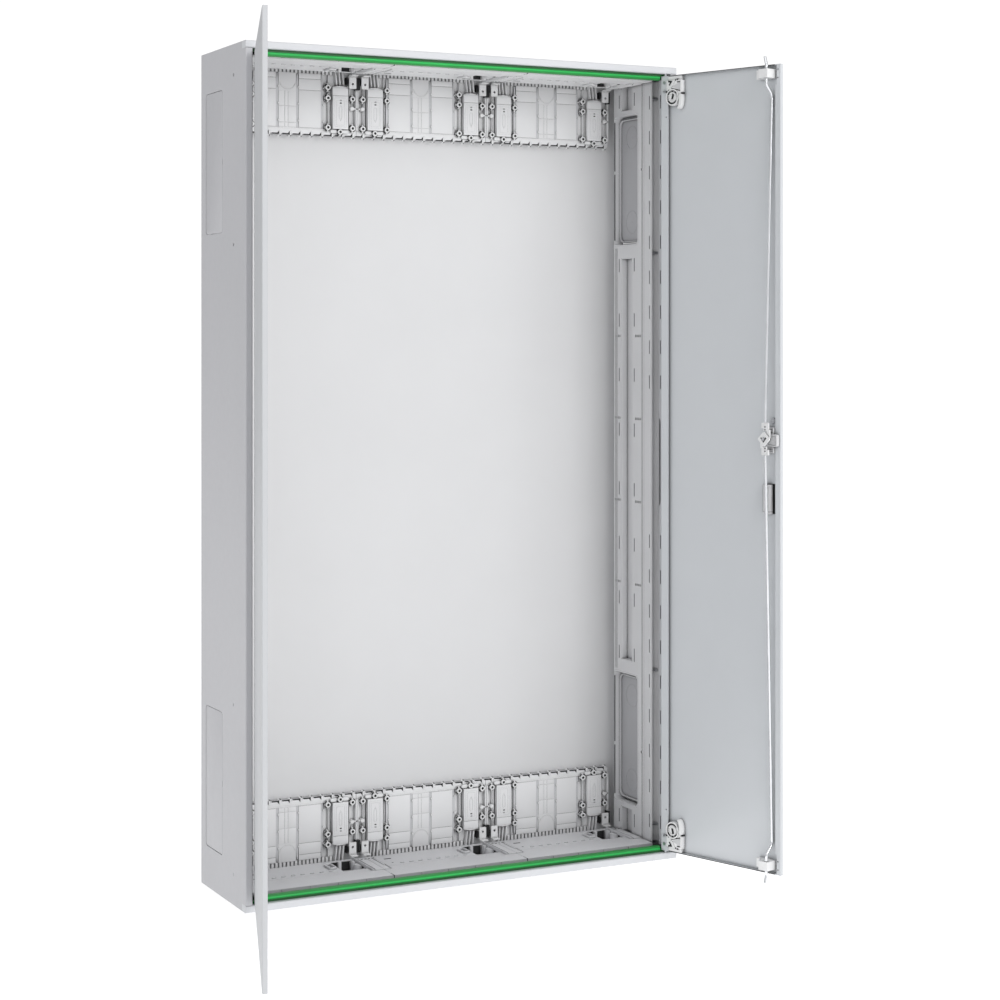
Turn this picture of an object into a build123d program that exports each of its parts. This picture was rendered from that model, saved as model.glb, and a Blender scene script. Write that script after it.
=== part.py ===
from build123d import *
from math import cos, radians, sin
import os

# A wall-mounted switchboard cabinet for nine 150 mm rows and three 250 mm fields, with two doors.
# Frame: millimetres, +Z up, the front faces -Y, +X is to the right seen from the front.
# Shapes are drawn with z from the cabinet's underside, and save() moves the origin up to the centre
# of the back face, on the wall plane. Doors are drawn shut, then swung open to their rest pose.

os.makedirs("parts", exist_ok=True)

# ---- driving dimensions ----
WIDTH = 800.0
HEIGHT = 1400.0
DEPTH = 225.0
SHEET = 1.5                  # steel sheet of the body and the doors
FIELD = 250.0                # width of one field, and of one flange module
ROW = 150.0                  # height of one row of devices
FIELDS = (-1, 0, 1)          # field centres, in field widths from the middle

# ---- body ----
RAIL_H = 12.0                # height of the front face of the top and bottom rails
RAIL_D = 18.0                # depth of the rails
RIM_W = 12.0                 # width of the front rim on each side wall
RIM_BACK = 41.0              # how far back the rim's slotted return reaches
BEND_R = 2.0                 # outside radius of folded edges
GASKET_H = 11.0
GASKET_GAP = 0.3             # room between the gasket and a shut door

# ---- doors ----
DOOR_GAP_Z = 4.0             # between a door and a rail
DOOR_SIDE = 14.3             # from the outside of the body to the edge of a shut door
DOOR_SPLIT = 117.0           # where the two doors meet
MEETING_GAP = 3.0
DOOR_T = 8.0
HINGE_LIP = 16.0
FREE_LIP = 11.0
AXIS_IN = 6.0                # hinge axis, from the door's hinged edge
AXIS_BACK = 4.0              # hinge axis, from the door's outer face
OPEN_ANGLE = 108.35
HINGE_Z = 79.0               # height of the hinge blocks' inner ends above the cabinet's bottom
CUP_IN = 26.0                # centre of a hinge block's cup, from the door's hinged edge
CUP_R = 14.6
CUP_H = 3.4                  # height of the cup above the door's lip plane
BOW_IN = 50.0                # far side of a hinge block's bow, from the hinged edge
BOW_H = 9.5
BOW_W = 5.5
FLANGE_SCREW_IN = 7.2        # hinge block screws, from the hinged edge
FLANGE_SCREWS = (36.0, 51.0)  # the same, above the block's inner end
LIP_HOLE_IN = 5.2            # small holes in the free lip, from the free edge
LIP_HOLES = (9.0, 23.0)      # the same, from the door's end
LIP_NOTCH = 34.0             # length of the narrowed free lip at each end
PIN_R = 2.2
PIN_CLEARANCE = 0.05

# ---- lock on the right door ----
LOCK_IN = 19.2               # lock and rods, from the door's meeting edge
LOCK_Z = 751.5
HOUSING_Z = LOCK_Z - 2.5     # middle of the lock's housing
THROW = 9.5                  # travel of each rod over a quarter turn of the handle
CRANK_PIN = THROW / 2        # each crank pin, sideways and upwards from the spindle
CRANK_PIN_R = 1.4
SPINDLE_R = 4.0
SPINDLE_SQUARE = 5.0
ROD_R = 2.5
ROD_H_LOCK = 16.3            # rod centre above the door's lip plane, at the lock
ROD_H_LOW = -1.8             # the same, where the rod runs close to the door
ROD_H_GUIDE = 13.5           # the same, inside the guide
ROD_H_TIP = 17.5             # the same, at the hooked tip
ROD_TIP = 4.0                # from the rod's tip to the outside of the cabinet, locked
GUIDE_Z = 1368.0             # centre of the upper rod guide
GUIDE_HALF = 7.5             # half the height of a rod guide
LUG_H = 15.0                 # underside of the rods' end plates above the lip plane
LUG_T = 2.6
LUG_END = 27.5               # far end of each end plate from the spindle, locked
LEVER_OUT = 11.0             # how far the lever stands out from the door
HUB_R = 10.0
TUB_LOW = LOCK_Z - 127.5     # finger tub behind the lever's end
TUB_HIGH = LOCK_Z - 77.0
KEY_Z = LOCK_Z + 30.5
KEY_R = 4.4

# ---- inside profiles on the side walls ----
PROFILE_X = 378.0            # inner face
PROFILE_REAR = 35.0
PROFILE_FRONT = 174.0
PROFILE_T = 2.5
SLOT_L = 24.0
SLOT_W = 3.0
ENTRY_FRONT = 111.3          # cable entry opening in the side wall, from the back
ENTRY_REAR = 24.3
ENTRY_LOW = 69.0
ENTRY_HIGH = 305.0
ENTRY_PLATE_X = 395.5
PROFILE_LOW = 20.0
TROUGH_LOW = 333.0
TROUGH_FLOOR = 393.0
RIM_SLOT_Y = 189.5
SIDE_SCREW_Y = 166.0
SIDE_SCREW_R = 2.6
SIDE_SCREW_Z = (50, 326, HEIGHT - 326, HEIGHT - 50)

# ---- flange modules ----
MODULE_W = FIELD - 0.6
REAR_H = 132.0               # height of a rear flange module
REAR_FACE = 14.0             # its face, from the back
REAR_BOSS = 26.0             # front of its bosses and cover plates
FLOOR_FRONT = 194.0          # front of a top or bottom flange module, from the back
FLOOR_REAR = 27.0
PLATEAU_H = 20.0             # height of its middle, above the cabinet's bottom
LEDGE_H = 25.5               # height of the ledge near its front
LEDGE_FRONT = 165.4
LEDGE_REAR = 143.0
APRON_H = 14.6               # height of the part before the ledge
COMB_D = 14.0                # depth of the comb along its rear edge
MODULE_WALL = 2.5
COVER_X = 92.5               # cover plates over the wall fixings, either side of a module's middle
COVER_LOW = HEIGHT - 116.0
COVER_HIGH = HEIGHT - 41.0
WALL_HOLE_R = 4.5
WALL_HOLE_X = FIELD + COVER_X
WALL_HOLE_Z = 80.0
FLANGE_OPENING_W = 230.0
FLANGE_OPENING_FRONT = 190.0
FLANGE_OPENING_REAR = 32.0

DOOR_LOW = RAIL_H + DOOR_GAP_Z
DOOR_HIGH = HEIGHT - DOOR_LOW
DOOR_EDGE = WIDTH / 2 - DOOR_SIDE
LIP_Y = DEPTH - DOOR_T       # the plane of the doors' lips when shut, from the back
AXIS_X = DOOR_EDGE - AXIS_IN
AXIS_Y = -DEPTH + AXIS_BACK
LOCK_X = DOOR_SPLIT + MEETING_GAP / 2 + LOCK_IN


# ---------------------------------------------------------------- helpers
def block(x0, x1, y0, y1, z0, z1):
    """A box between two values on each axis, in either order."""
    size = (abs(x1 - x0), abs(y1 - y0), abs(z1 - z0))
    return Pos((x0 + x1) / 2, (y0 + y1) / 2, (z0 + z1) / 2) * Box(*size)


def pillar(x, y, z0, z1, r):
    """A cylinder along Z."""
    return Pos(x, y, (z0 + z1) / 2) * Cylinder(r, abs(z1 - z0))


def stud(x, z, y0, y1, r):
    """A cylinder along Y."""
    return Pos(x, (y0 + y1) / 2, z) * Rot(90, 0, 0) * Cylinder(r, abs(y1 - y0))


def peg(y, z, x0, x1, r):
    """A cylinder along X."""
    return Pos((x0 + x1) / 2, y, z) * Rot(0, 90, 0) * Cylinder(r, abs(x1 - x0))


def rounded_plate(x0, x1, y0, y1, z0, z1, r, axis=Axis.Y):
    """A block whose four edges along one axis are rounded."""
    plate = block(x0, x1, y0, y1, z0, z1)
    return fillet(plate.edges().filter_by(axis), r)


def mirrored_x(shape):
    return mirror(shape, about=Plane.YZ)


def mirrored_z(shape):
    return mirror(shape, about=Plane.XY.offset(HEIGHT / 2))


def save(name, solids):
    """Writes one node, about the centre of the back. A list becomes one group of separate solids."""
    centred = Pos(0, 0, -HEIGHT / 2)
    if isinstance(solids, (list, tuple)):
        shape = Compound(children=[centred * solid for solid in solids])
    else:
        shape = centred * solids
    shape.label = name
    export_step(shape, "parts/" + name + ".step")


# ---------------------------------------------------------------- body
def rail():
    """The top rail: a folded box section across the whole width, open to the back at its ends."""
    outer = block(-WIDTH / 2, WIDTH / 2, -DEPTH, -DEPTH + RAIL_D, HEIGHT - RAIL_H, HEIGHT)
    outer = fillet(outer.edges().filter_by(Axis.X).group_by(Axis.Y)[0], BEND_R)
    hollow = block(
        -WIDTH / 2 + SHEET, WIDTH / 2 - SHEET,
        -DEPTH + SHEET, -DEPTH + RAIL_D - SHEET,
        HEIGHT - RAIL_H + SHEET, HEIGHT - SHEET,
    )
    shape = outer - hollow
    for side in (-1, 1):
        shape -= pillar(side * AXIS_X, AXIS_Y, HEIGHT - RAIL_H - 1, HEIGHT - RAIL_H + SHEET + 1,
                        PIN_R + PIN_CLEARANCE)
    return shape


def hinge_bush(side):
    """A plastic block inside the rail's end that the door's hinge pin turns in."""
    x_far = side * (WIDTH / 2 - RIM_W)
    shape = block(
        side * (AXIS_X - 9), x_far,
        -DEPTH + SHEET, -DEPTH + RAIL_D - SHEET,
        HEIGHT - RAIL_H + SHEET, HEIGHT - SHEET,
    )
    return shape - pillar(side * AXIS_X, AXIS_Y, HEIGHT - RAIL_H, HEIGHT, PIN_R + PIN_CLEARANCE)


def gasket():
    """The top gasket: a soft strip with a rounded nose, thinner at its ends where the doors turn."""
    z_high = HEIGHT - RAIL_H
    y_back = -DEPTH + RAIL_D
    turn = (AXIS_IN**2 + (DOOR_T - AXIS_BACK)**2)**0.5 + 0.6
    full = AXIS_X - turn
    strip = block(-full, full, -LIP_Y + GASKET_GAP, y_back, z_high - GASKET_H, z_high)
    strip = fillet(strip.edges().filter_by(Axis.X).group_by(Axis.Y)[0], GASKET_H * 0.42)
    return strip + block(-DOOR_EDGE, DOOR_EDGE, AXIS_Y + turn, y_back, z_high - GASKET_H, z_high)


def back_panel():
    inner = WIDTH / 2 - SHEET
    shape = block(-inner, inner, -SHEET, 0, SHEET, HEIGHT - SHEET)
    for x in (-WALL_HOLE_X, WALL_HOLE_X):
        for z in (WALL_HOLE_Z, HEIGHT - WALL_HOLE_Z):
            shape -= stud(x, z, -SHEET - 1, 1, WALL_HOLE_R)
    return shape


def outer_plate():
    """The top plate, with one opening for each flange module."""
    inner = WIDTH / 2 - SHEET
    shape = block(-inner, inner, -DEPTH + RAIL_D, -SHEET, HEIGHT - SHEET, HEIGHT)
    half = FLANGE_OPENING_W / 2
    for field in FIELDS:
        centre = field * FIELD
        shape -= rounded_plate(
            centre - half, centre + half, -FLANGE_OPENING_FRONT, -FLANGE_OPENING_REAR,
            HEIGHT - SHEET - 1, HEIGHT + 1, 4, Axis.Z,
        )
    return shape


def slot_heights():
    """Heights of the long slots beside the doors: nine above the middle and nine below."""
    return [HEIGHT / 2 + sign * (142.5 + 62.5 * k) for k in range(9) for sign in (-1, 1)]


def side_wall():
    """The right side wall: sheet, folded front rim with its slotted return, and openings."""
    outside = WIDTH / 2
    rim_x = outside - RIM_W
    low, high = RAIL_H, HEIGHT - RAIL_H
    front = block(rim_x, outside, -DEPTH, -DEPTH + RAIL_D, low, high)
    front = fillet(front.edges().filter_by(Axis.Z).group_by(Axis.Y)[0], BEND_R)
    front -= block(rim_x + SHEET, outside - SHEET, -DEPTH + SHEET, -DEPTH + RAIL_D, low, high)
    shape = front + block(outside - SHEET, outside, -DEPTH + RAIL_D, 0, 0, HEIGHT)
    shape += block(rim_x, rim_x + SHEET, -DEPTH + RAIL_D, -DEPTH + RIM_BACK, low, high)
    for z in slot_heights():
        shape -= block(rim_x - 1, rim_x + SHEET + 1, -RIM_SLOT_Y - SLOT_W / 2, -RIM_SLOT_Y + SLOT_W / 2,
                       z - SLOT_L / 2, z + SLOT_L / 2)
    notch = block(rim_x - 1, rim_x + SHEET + 1, -DEPTH + RIM_BACK - 7, -DEPTH + RIM_BACK + 1,
                  HEIGHT / 2 - 78, HEIGHT / 2 + 78)
    shape -= chamfer(notch.edges().filter_by(Axis.X).group_by(Axis.Y)[0], 6)
    for low_z in (ENTRY_LOW, HEIGHT - ENTRY_HIGH):
        shape -= rounded_plate(outside - SHEET - 1, outside + 1, -ENTRY_FRONT, -ENTRY_REAR,
                               low_z, low_z + ENTRY_HIGH - ENTRY_LOW, 8, Axis.X)
    for z in SIDE_SCREW_Z:
        shape -= peg(-SIDE_SCREW_Y, z, outside - SHEET - 1, outside + 1, SIDE_SCREW_R)
    return shape


def entry_cover():
    """The flush cover of the lower right cable entry, with a prying slot and its fixing lugs."""
    outside = WIDTH / 2
    gap = 0.4
    shape = rounded_plate(outside - SHEET, outside, -ENTRY_FRONT + gap, -ENTRY_REAR - gap,
                          ENTRY_LOW + gap, ENTRY_HIGH - gap, 8 - gap, Axis.X)
    middle = (ENTRY_LOW + ENTRY_HIGH) / 2
    shape -= block(outside - SHEET - 1, outside + 1, -ENTRY_FRONT, -ENTRY_FRONT + 2.4, middle - 5, middle + 5)
    shape -= peg(-62, middle, outside - SHEET - 1, outside + 1, 1.2)
    for z in (ENTRY_LOW + 25, ENTRY_HIGH - 25):
        shape += block(ENTRY_PLATE_X, outside - SHEET, -86, -56, z - 3, z + 3)
    return shape


def entry_plate():
    """The inner plate of the lower right cable entry, with two round knock-outs."""
    low, high = ENTRY_LOW + 7, ENTRY_HIGH - 2
    shape = rounded_plate(ENTRY_PLATE_X - 3, ENTRY_PLATE_X, -116, -PROFILE_REAR - PROFILE_T - 0.5,
                          low, high, 12, Axis.X)
    for z in (low + 36, high - 36):
        ring = peg(-78, z, ENTRY_PLATE_X - 4, ENTRY_PLATE_X - 2.2, 21)
        shape -= ring - peg(-78, z, ENTRY_PLATE_X - 5, ENTRY_PLATE_X, 20)
    return shape


def profile():
    """The right inner profile: a moulded plastic channel with troughs, slots and row marks."""
    wall = WIDTH / 2 - SHEET
    face = PROFILE_X + PROFILE_T
    low, high = PROFILE_LOW, HEIGHT - PROFILE_LOW
    shell = block(PROFILE_X, wall, -PROFILE_FRONT, -PROFILE_REAR, low, high)
    shell = fillet(shell.edges().filter_by(Axis.Z).group_by(Axis.X)[0], 2.2)
    shell -= block(face, wall + 1, -PROFILE_FRONT + PROFILE_T, -PROFILE_REAR - PROFILE_T,
                   low + PROFILE_T, high - PROFILE_T)
    troughs = [(TROUGH_LOW, HEIGHT - TROUGH_LOW), (low - 1, ENTRY_LOW - 4),
               (HEIGHT - ENTRY_LOW + 4, high + 1)]
    for z0, z1 in troughs:
        walls = block(PROFILE_X, TROUGH_FLOOR, -104 - PROFILE_T, -64 + PROFILE_T,
                      max(z0 - PROFILE_T, low), min(z1 + PROFILE_T, high))
        shell += walls
        shell -= block(PROFILE_X - 1, TROUGH_FLOOR - PROFILE_T, -104, -64, z0, z1)
    for z0 in (ENTRY_LOW + 3, HEIGHT - ENTRY_HIGH - 5):
        z1 = z0 + ENTRY_HIGH - ENTRY_LOW + 2
        walls = rounded_plate(PROFILE_X, ENTRY_PLATE_X, -126 - PROFILE_T, -PROFILE_REAR,
                              z0 - PROFILE_T, z1 + PROFILE_T, 10, Axis.X)
        pocket = rounded_plate(PROFILE_X - 1, ENTRY_PLATE_X + 1, -126, -PROFILE_REAR - PROFILE_T,
                               z0, z1, 8, Axis.X)
        shell += walls
        shell -= pocket
        shell -= block(ENTRY_PLATE_X - 3.01, ENTRY_PLATE_X + 1, -116.4, -PROFILE_REAR - PROFILE_T,
                       z0, z1)
    for k in range(4):
        for sign in (-1, 1):
            for y in (-56, -112):
                z = HEIGHT / 2 + sign * (54 + 100 * k)
                shell -= profile_slot(y, z)
    for z in (46, HEIGHT - 46):
        for y in (-56, -112):
            shell -= profile_slot(y, z)
    for z in slot_heights():
        shell -= profile_slot(-167, z)
    for k in range(3, 7):
        z = HEIGHT / 2 + (k - 4.5) * ROW
        for y0, y1 in ((-61, -38), (-139, -107)):
            shell -= block(PROFILE_X - 1, PROFILE_X + 1.4, y0, y1, z - 1.8, z + 1.8)
    for z in (175, HEIGHT - 175):
        for y0, y1 in ((-38, -34), (-140, -136)):
            shell -= block(PROFILE_X - 1, PROFILE_X + 1.6, y0, y1, z - 2, z + 2)
    for y in (-142, -148):
        shell -= block(PROFILE_X - 1, PROFILE_X + 0.7, y - 1, y + 1, low, high)
    for z in SIDE_SCREW_Z:
        shell += peg(-SIDE_SCREW_Y, z, face, wall, 4.5)
        shell -= peg(-SIDE_SCREW_Y, z, face, wall + 1, SIDE_SCREW_R)
    return shell


def profile_slot(y, z):
    return block(PROFILE_X - 1, PROFILE_X + PROFILE_T + 0.5, y - SLOT_W / 2, y + SLOT_W / 2,
                 z - SLOT_L / 2, z + SLOT_L / 2)


def side_screws():
    """The countersunk screws that hold the right profile to the side wall."""
    outside = WIDTH / 2
    screws = []
    for z in SIDE_SCREW_Z:
        screw = peg(-SIDE_SCREW_Y, z, outside - 16, outside - 0.2, SIDE_SCREW_R - 0.05)
        screw -= block(outside - 1.4, outside + 1, -SIDE_SCREW_Y - 0.5, -SIDE_SCREW_Y + 0.5, z - 2, z + 2)
        screws.append(screw)
    return screws


# ---------------------------------------------------------------- flange modules
def rear_module():
    """An upper rear flange module: ribbed plate, screw bosses, comb, and hooked lower edge."""
    half = MODULE_W / 2
    top = HEIGHT - SHEET
    low = HEIGHT - REAR_H
    edge = low + 15
    shape = block(-half, half, -REAR_FACE, -SHEET, edge, top)
    shape += block(-half, half, -REAR_FACE + 4, -SHEET, low + 6, edge)
    pitch = FIELD / 13
    for k in range(13):
        x = (k - 6) * pitch
        shape += block(x - 3, x + 3, -REAR_FACE - 5, -SHEET, low, edge + 0.6)
        shape += block(x - 6.5, x + 3, -REAR_FACE - 5, -REAR_FACE + 2, edge - 5, edge - 2)
    for x in (-64, -19.5, 17.5, 62):
        shape -= block(x - 2, x + 2, -REAR_FACE - 1, -REAR_FACE + 6, edge + 6, top - 1)
        shape += block(x + 2, x + 3.4, -REAR_FACE - 3, -REAR_FACE + 1, edge + 6, top - 8)
    for k in range(28):
        x = -half + 6 + k * (MODULE_W - 12) / 27
        if abs(abs(x) - COVER_X) > 16:
            shape += block(x - 1.3, x + 1.3, -REAR_FACE - 6, -REAR_FACE, top - 20, top - 9)
    for side in (-1, 1):
        centre = side * COVER_X
        shape -= block(centre - 13, centre + 13, -REAR_FACE - 1, -SHEET + 1, COVER_LOW + 8, COVER_HIGH - 8)
        for x in (centre - 15.75, centre + 15.75):
            shape += block(x - 1.25, x + 1.25, -REAR_BOSS + 4, -REAR_FACE, COVER_LOW, COVER_HIGH)
        for x, z in boss_places(side):
            shape += stud(x, z, -REAR_BOSS, -REAR_FACE, 4.6)
            shape -= stud(x, z, -REAR_BOSS - 1, -REAR_FACE - 2, 1.7)
        for x in (centre - 6, centre, centre + 6):
            shape += block(x - 0.9, x + 0.9, -REAR_FACE - 7, -REAR_FACE, COVER_HIGH + 5, top - 10)
        x = side * (half - 0.8)
        shape += block(x - 0.8, x + 0.8, -REAR_BOSS + 6, -REAR_FACE, edge, top - 24)
    return shape


def boss_places(side):
    """Screw bosses round one cover plate: three in the inner column, two in the outer, one below."""
    inner, outer = side * (COVER_X - 22.8), side * (COVER_X + 22.8)
    places = [(x, z) for x in (inner, outer) for z in (COVER_LOW + 2, COVER_HIGH - 22)]
    return places + [(inner, COVER_HIGH - 4), (side * COVER_X, COVER_LOW - 5)]


def cover_plates():
    """The two plates over the wall-fixing windows of one upper rear module."""
    plates = []
    for centre in (-COVER_X, COVER_X):
        plate = rounded_plate(centre - 14.3, centre + 14.3, -REAR_BOSS, -REAR_FACE - 0.05,
                              COVER_LOW, COVER_HIGH, 3)
        plate -= block(centre - 12.5, centre + 12.5, -REAR_BOSS + 2, -REAR_FACE + 1,
                       COVER_LOW + 3, COVER_HIGH - 3)
        plates.append(plate)
    return plates


def module_screws():
    """The screws in the bosses of one upper rear module."""
    screws = []
    for side in (-1, 1):
        for x, z in boss_places(side):
            screw = stud(x, z, -REAR_BOSS - 0.02, -REAR_FACE - 2.2, 1.6)
            screw += stud(x, z, -REAR_BOSS - 1.6, -REAR_BOSS - 0.02, 3.1)
            screws.append(screw)
    return screws


def joint_brackets():
    """Angle brackets that tie one upper rear module to its top module, one at each end."""
    top = HEIGHT - SHEET
    y_front = -REAR_BOSS - 4
    brackets = []
    for x in (-113.5, 113.5):
        plate = rounded_plate(x - 6.5, x + 6.5, y_front, y_front + 2.5, top - 44, top - 21, 1.5)
        plate -= stud(x, top - 36, y_front - 1, y_front + 4, 2)
        plate += block(x - 6.5, x + 6.5, y_front - 10, y_front + 2.5, top - 23, top - 21)
        for web in (x - 4, x + 4):
            plate += block(web - 1, web + 1, y_front + 2.5, -REAR_FACE, top - 37, top - 22)
        brackets.append(plate)
    return brackets


def floor_module():
    """A lower flange module: plateau, stepped ledge, low apron before it, and cable wells."""
    half = MODULE_W / 2
    inside = half - MODULE_WALL
    base = SHEET
    floor = base + 3
    comb_front = -FLOOR_REAR - COMB_D
    shape = block(-half, half, -FLOOR_FRONT, -FLOOR_REAR, base, floor)
    lid = FLANGE_OPENING_W / 2 - 0.5
    shape += block(-lid, lid, -FLANGE_OPENING_FRONT + 4.5, -FLANGE_OPENING_REAR - 4.5, 0, base)
    shape += block(-half, half, -FLOOR_FRONT, -LEDGE_FRONT, floor, APRON_H)
    shape += block(-half, half, -FLOOR_FRONT, -FLOOR_FRONT + 6, APRON_H, APRON_H + 2)
    shape += block(-half, half, -LEDGE_FRONT, -LEDGE_REAR, floor, LEDGE_H)
    shape += block(-half, half, -LEDGE_REAR, comb_front, floor, PLATEAU_H)
    shape -= block(-inside, inside, -FLOOR_FRONT + MODULE_WALL, comb_front - MODULE_WALL,
                   floor, APRON_H - MODULE_WALL)
    shape -= block(-inside, inside, -LEDGE_FRONT + MODULE_WALL, comb_front - MODULE_WALL,
                   floor, PLATEAU_H - MODULE_WALL)
    shape -= block(-inside, inside, -LEDGE_FRONT + MODULE_WALL, -LEDGE_REAR - MODULE_WALL,
                   floor, LEDGE_H - MODULE_WALL)
    for x0, x1, y0, y1 in ((73, 83, -116, -52), (86, 96, -110, -48), (99, 108, -116, -84),
                           (99, 108, -78, -52)):
        shape -= block(x0, x1, y0, y1, floor, PLATEAU_H + 1)
    loop = rounded_plate(44, 62, -95, -64, PLATEAU_H, PLATEAU_H + 5, 5, Axis.Z)
    shape += loop - rounded_plate(46.6, 59.4, -92.4, -66.6, PLATEAU_H - 1, PLATEAU_H + 6, 2.6, Axis.Z)
    for k in range(8):
        x = -77 + 17.5 * k
        mark = pillar(x, -102, PLATEAU_H, PLATEAU_H + 0.9, 4.2) - pillar(x, -102, 0, PLATEAU_H + 2, 3)
        shape += mark - block(x + 1.5, x + 5, -107, -97, PLATEAU_H, PLATEAU_H + 2)
    for x in (109.6, -112.0):
        shape += block(x - 0.9, x + 0.9, -LEDGE_REAR, comb_front, PLATEAU_H, LEDGE_H)
    for x0, x1 in ((111, half), (-half, -113)):
        shape += block(x0, x1, -LEDGE_REAR, -62, PLATEAU_H, LEDGE_H - 1.5)
    teeth = 34
    for k in range(teeth):
        x = -half + 4 + k * (MODULE_W - 8) / (teeth - 1)
        shape += block(x - 1.3, x + 1.3, comb_front, -FLOOR_REAR - 1, floor, PLATEAU_H - 3)
    return shape


# ---------------------------------------------------------------- doors (modelled shut)
def leaf(hinged_x, free_x):
    """A door pan: folded sheet, with lips along its hinged and meeting edges."""
    inward = 1 if free_x > hinged_x else -1
    outer = block(hinged_x, free_x, -DEPTH, -LIP_Y, DOOR_LOW, DOOR_HIGH)
    outer = fillet(outer.faces().sort_by(Axis.Y)[0].edges(), BEND_R - 0.2)
    hollow = block(hinged_x + inward * SHEET, free_x - inward * SHEET, -DEPTH + SHEET, -LIP_Y + 1,
                   DOOR_LOW + SHEET, DOOR_HIGH - SHEET)
    shape = outer - hollow
    lip = dict(y0=-LIP_Y - SHEET, y1=-LIP_Y, z0=DOOR_LOW + SHEET, z1=DOOR_HIGH - SHEET)
    shape += block(hinged_x + inward * SHEET, hinged_x + inward * HINGE_LIP, **lip)
    shape += block(free_x - inward * SHEET, free_x - inward * FREE_LIP, **lip)
    axis_x = hinged_x + inward * AXIS_IN
    for z0, z1 in ((DOOR_HIGH - SHEET - 1, DOOR_HIGH + 1), (DOOR_LOW - 1, DOOR_LOW + SHEET + 1)):
        shape -= pillar(axis_x, AXIS_Y, z0, z1, PIN_R + 0.1)
    for low, high in ((DOOR_LOW + 1.5, HINGE_Z - 2), (HEIGHT - HINGE_Z + 2, DOOR_HIGH - 1.5)):
        shape -= block(hinged_x + inward * SHEET, hinged_x + inward * (HINGE_LIP + 1),
                       -LIP_Y - SHEET - 1, -LIP_Y + 1, low, high)
    for z in (HINGE_Z + 10, HEIGHT - HINGE_Z - 10):
        shape -= stud(hinged_x + inward * 11.5, z, -LIP_Y - SHEET - 1, -LIP_Y + 1, 1.3)
    for end in LIP_HOLES:
        for z in (DOOR_LOW + end, DOOR_HIGH - end):
            shape -= stud(free_x - inward * LIP_HOLE_IN, z, -LIP_Y - SHEET - 1, -LIP_Y + 1, 1.5)
    for z0, z1 in ((DOOR_LOW + SHEET, DOOR_LOW + LIP_NOTCH), (DOOR_HIGH - LIP_NOTCH, DOOR_HIGH - SHEET)):
        shape -= block(free_x - inward * 8, free_x - inward * (FREE_LIP + 1),
                       -LIP_Y - SHEET - 1, -LIP_Y + 1, z0, z1)
    return shape


def hinge_block(hinged_x, inward):
    """The upper hinge block: a moulded carrier in the door's corner, round the hinge pin."""
    def at(s0, s1, h0, h1, z0, z1):
        return block(hinged_x + inward * s0, hinged_x + inward * s1, -LIP_Y + h0, -LIP_Y + h1, z0, z1)

    def round_cup(h0, h1, r):
        return stud(hinged_x + inward * CUP_IN, cup_z, -LIP_Y + h0, -LIP_Y + h1, r)

    deep = -DOOR_T + SHEET
    flush = -0.2
    low, high = HEIGHT - HINGE_Z, DOOR_HIGH - SHEET
    cup_z = low + 20
    proud = HEIGHT - RAIL_H - GASKET_H - 1.5
    shape = at(SHEET, 42, deep, flush, low + 6, high)
    shape += at(12, 42, flush, 1.0, low + 6, proud)
    shape += round_cup(flush, CUP_H - 0.8, CUP_R) - round_cup(-4, CUP_H, CUP_R - 1.8)
    shape -= round_cup(-4, CUP_H, CUP_R - 1.8) - round_cup(-5, CUP_H, 9.4)
    shape += round_cup(flush, CUP_H, 9.4)
    shape -= at(CUP_IN - 1.4, CUP_IN + 1.4, 0, CUP_H + 1, cup_z - 7, cup_z + 7)
    shape += at(12, 13.6, 1, 2.6, proud - 18, proud - 2)
    for near in (26, 29.5, 33, 36.5):
        shape += at(near, near + 1.6, 1, 2.4, proud - 7, proud)
    bar = at(BOW_IN - BOW_W - 0.3, BOW_IN, deep, BOW_H, low + 33, proud)
    shape += fillet(bar.edges().filter_by(Axis.Y), 2)
    bow_x = hinged_x + inward * (CUP_IN - 1)
    bow_r = BOW_IN - CUP_IN + 1
    curve = stud(bow_x, cup_z, -LIP_Y + deep, -LIP_Y + BOW_H - 1, bow_r)
    curve -= stud(bow_x, cup_z, -LIP_Y + deep - 1, -LIP_Y + BOW_H, bow_r - BOW_W)
    shape += curve & at(CUP_IN + 12, BOW_IN, deep, BOW_H, low, cup_z + 13)
    shape += at(40, BOW_IN - 3, deep, flush, low + 20, low + 40)
    return shape - pillar(hinged_x + inward * AXIS_IN, AXIS_Y, low - 1, high + 1, PIN_R + 0.02)


def hinge_pin(hinged_x, inward):
    """The upper hinge pin, held in the hinge block and reaching up into the rail's bush."""
    x = hinged_x + inward * AXIS_IN
    shape = pillar(x, AXIS_Y, HEIGHT - HINGE_Z + 12, HEIGHT - SHEET - 1, PIN_R)
    return chamfer(shape.edges().sort_by(Axis.Z)[-1], 0.6)


def hinge_screws(hinged_x, inward):
    """Two screws that hold one upper hinge block to the door."""
    screws = []
    low = HEIGHT - HINGE_Z
    x = hinged_x + inward * FLANGE_SCREW_IN
    y = -LIP_Y - 0.19
    for rise in FLANGE_SCREWS:
        screw = stud(x, low + rise, y, y + 1.5, 2.6)
        screw -= block(x - 1.7, x + 1.7, y + 0.7, y + 2.5, low + rise - 0.4, low + rise + 0.4)
        screws.append(screw)
    return screws


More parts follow.
